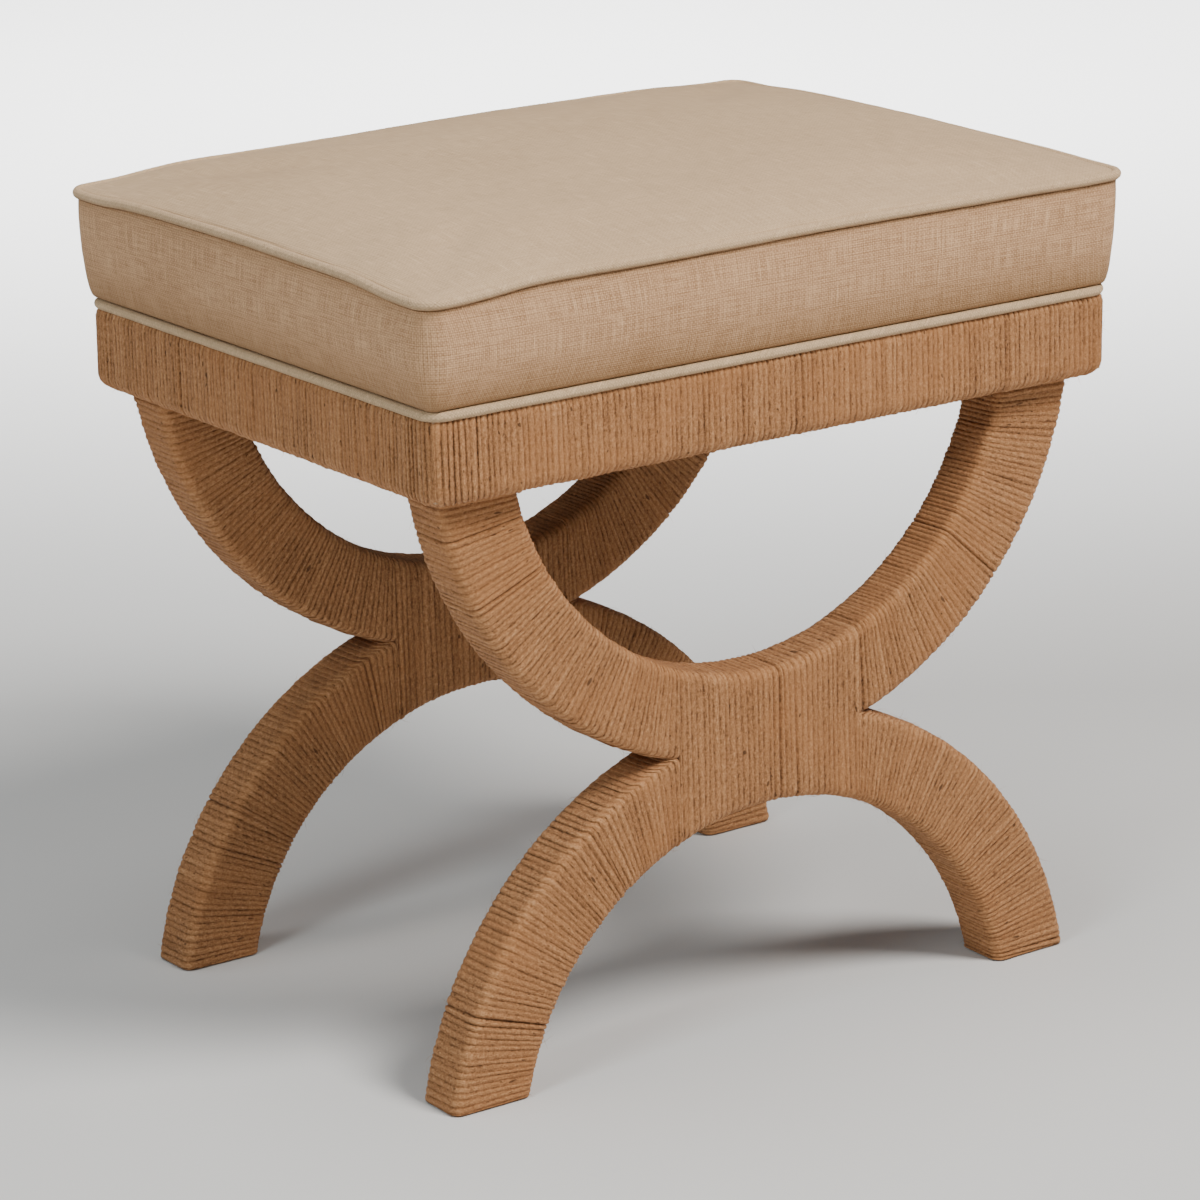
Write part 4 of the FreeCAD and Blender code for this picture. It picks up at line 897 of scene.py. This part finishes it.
def makeScrews():
    # A head is a low dome turned about its axis, with a cross cut into it at every fourth side.
    d = screws
    sides = d["sides"]
    angle = np.arange(sides) * 2 * math.pi / sides
    radii, rise, cut = (np.array(d[key])[:, None] for key in ("radii", "rises", "cuts"))
    arm = np.array(d["arms"])[np.arange(sides) % 4]
    high = d["rise"] * (rise - cut * np.maximum(arm, np.where(radii < d["boss"], 1.0, 0.0)))
    ring = np.stack([d["head"] * radii * np.cos(angle), d["head"] * radii * np.sin(angle), high], -1).reshape(-1, 3)
    last = (len(radii) - 1) * sides + np.arange(sides)
    k = np.arange(sides // 2 - 1)
    quads = np.vstack([gridQuads(len(radii), sides, True),
                       np.stack([last[k], last[k + 1], last[-2 - k], last[-1 - k]], -1)])
    (underX, underY), (faceX, faceY) = d["underLine"], d["faceLine"]
    spots = [((x, side * underY, d["underZ"]), (0, 0, -1)) for side in (-1, 1) for x in d["longUnder"]]
    spots += [((side * underX, y, d["underZ"]), (0, 0, -1)) for side in (-1, 1) for y in d["shortUnder"]]
    spots += [((x, side * faceY, d["faceZ"]), (0, -side, 0)) for side in (-1, 1) for x in d["longFace"]]
    spots += [((side * faceX, 0, d["faceZ"]), (-side, 0, 0)) for side in (-1, 1)]
    heads, faces = [], []
    for number, (place, axis) in enumerate(spots):
        turn = Vector(axis).to_track_quat("Z", "Y").to_matrix()
        spin = Matrix.Rotation(d["spin"] * number, 3, "Z")
        heads.append(ring @ np.array(turn @ spin).T + np.array(place))
        faces.append(quads + number * len(ring))
    return addPiece("cleatScrews", np.concatenate(heads), np.concatenate(faces), steel)


makeScrews()
print("underside finished")


# stage, light and camera

studio = {
    "half": 14.0, "paper": ((0.68, 0.68, 0.675), (0.72, 0.72, 0.715)), "paperScale": 2.0, "roughness": 0.9,
    "world": (0.90, 0.95, 1, 1), "worldStrength": 0.12}


def makeStage():
    # a flat square of pale paper with a faint, wide mottle
    g = Graph("studioFloor")
    paper = g.finish(g.blend(g.noise(g.place(), studio["paperScale"]), *studio["paper"]), studio["roughness"])
    points = [(x * studio["half"], y * studio["half"], 0) for x, y in ((-1, -1), (1, -1), (1, 1), (-1, 1))]
    mesh = bpy.data.meshes.new("studioFloor")
    mesh.from_pydata(points, [], [(0, 1, 2, 3)])
    mesh.materials.append(paper)
    floor = addObject("studioFloor", mesh)


def addLight(name, place, aim, size, power, colour):
    lamp = bpy.data.lights.new(name, "AREA")
    lamp.shape = "DISK"
    lamp.size = size
    lamp.energy = power
    lamp.color = colour
    holder = addObject(name, lamp)
    holder.location = place
    holder.rotation_mode = "QUATERNION"
    holder.rotation_quaternion = (Vector(aim) - Vector(place)).to_track_quat("-Z", "Y")


photoCamera = {
    "azimuth": -35.341, "elevation": 16.601, "distance": 2.7246, "target": (-0.0056, 0, 0.2093), "roll": -1.115,
    "lens": 147.78, "sensor": 36, "shift": (0.00406, -0.00195), "clipEnd": 60}


def makeCamera():
    # it looks at the target from the given angles and distance, and rolls about its own axis
    d = photoCamera
    a, e, r = (math.radians(d[key]) for key in ("azimuth", "elevation", "roll"))
    back = Vector((math.sin(a) * math.cos(e), -math.cos(a) * math.cos(e), math.sin(e)))
    right = Vector((math.cos(a), math.sin(a), 0))
    up = back.cross(right)
    right, up = math.cos(r) * right + math.sin(r) * up, math.cos(r) * up - math.sin(r) * right
    lens = bpy.data.cameras.new("photoCamera")
    lens.lens = d["lens"]
    lens.sensor_width = d["sensor"]
    lens.shift_x, lens.shift_y = d["shift"]
    lens.clip_end = d["clipEnd"]
    camera = addObject("photoCamera", lens)
    camera.matrix_world = Matrix((right, up, back)).transposed().to_4x4()
    camera.location = Vector(d["target"]) + back * d["distance"]
    bpy.context.scene.camera = camera


# place, aim, size, power and colour of each light
studioLights = {
    "keyLight": ((0.8, -2.0, 2.8), (0, 0, 0.25), 1.2, 127, (1.0, 0.965, 0.92)),
    "topLight": ((-0.4, 0.2, 3.0), (0, 0, 0.3), 1.8, 34, (1.0, 0.98, 0.95)),
    "sideLight": ((-2.5, -0.9, 2.0), (0, 0, 0.30), 1.0, 32, (0.90, 0.985, 1.0))}
# heading, distance and power: these light the floor beyond the bench, most in the photo's view
backdropLights = {
    "rows": ((55, 2.3, 560), (145, 3.6, 330), (235, 3.6, 330), (325, 3.6, 330)), "height": 2.5, "throw": 3.4,
    "size": 2.4, "colour": (1.0, 1.0, 1.0)}

makeStage()
makeCamera()
for name, row in studioLights.items():
    addLight(name, *row)
for heading, reach, power in backdropLights["rows"]:
    ahead = Vector((math.cos(math.radians(heading)), math.sin(math.radians(heading)), 0))
    addLight(f"backdropLight{heading}", ahead * reach + Vector((0, 0, backdropLights["height"])),
             ahead * (reach + backdropLights["throw"]), backdropLights["size"], power, backdropLights["colour"])
world = bpy.context.scene.world or bpy.data.worlds.new("studioWorld")
bpy.context.scene.world = world
world.use_nodes = True
background = world.node_tree.nodes["Background"].inputs
background[0].default_value = studio["world"]
background[1].default_value = studio["worldStrength"]
print("stage and lights set")

woodNodes = {name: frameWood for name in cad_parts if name.endswith(("_rail", "_bow", "_tenon", "_cleat"))}
woodNodes["seat_board"] = plywood
for name, wood in woodNodes.items():
    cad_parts[name].data.materials.clear()
    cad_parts[name].data.materials.append(wood)
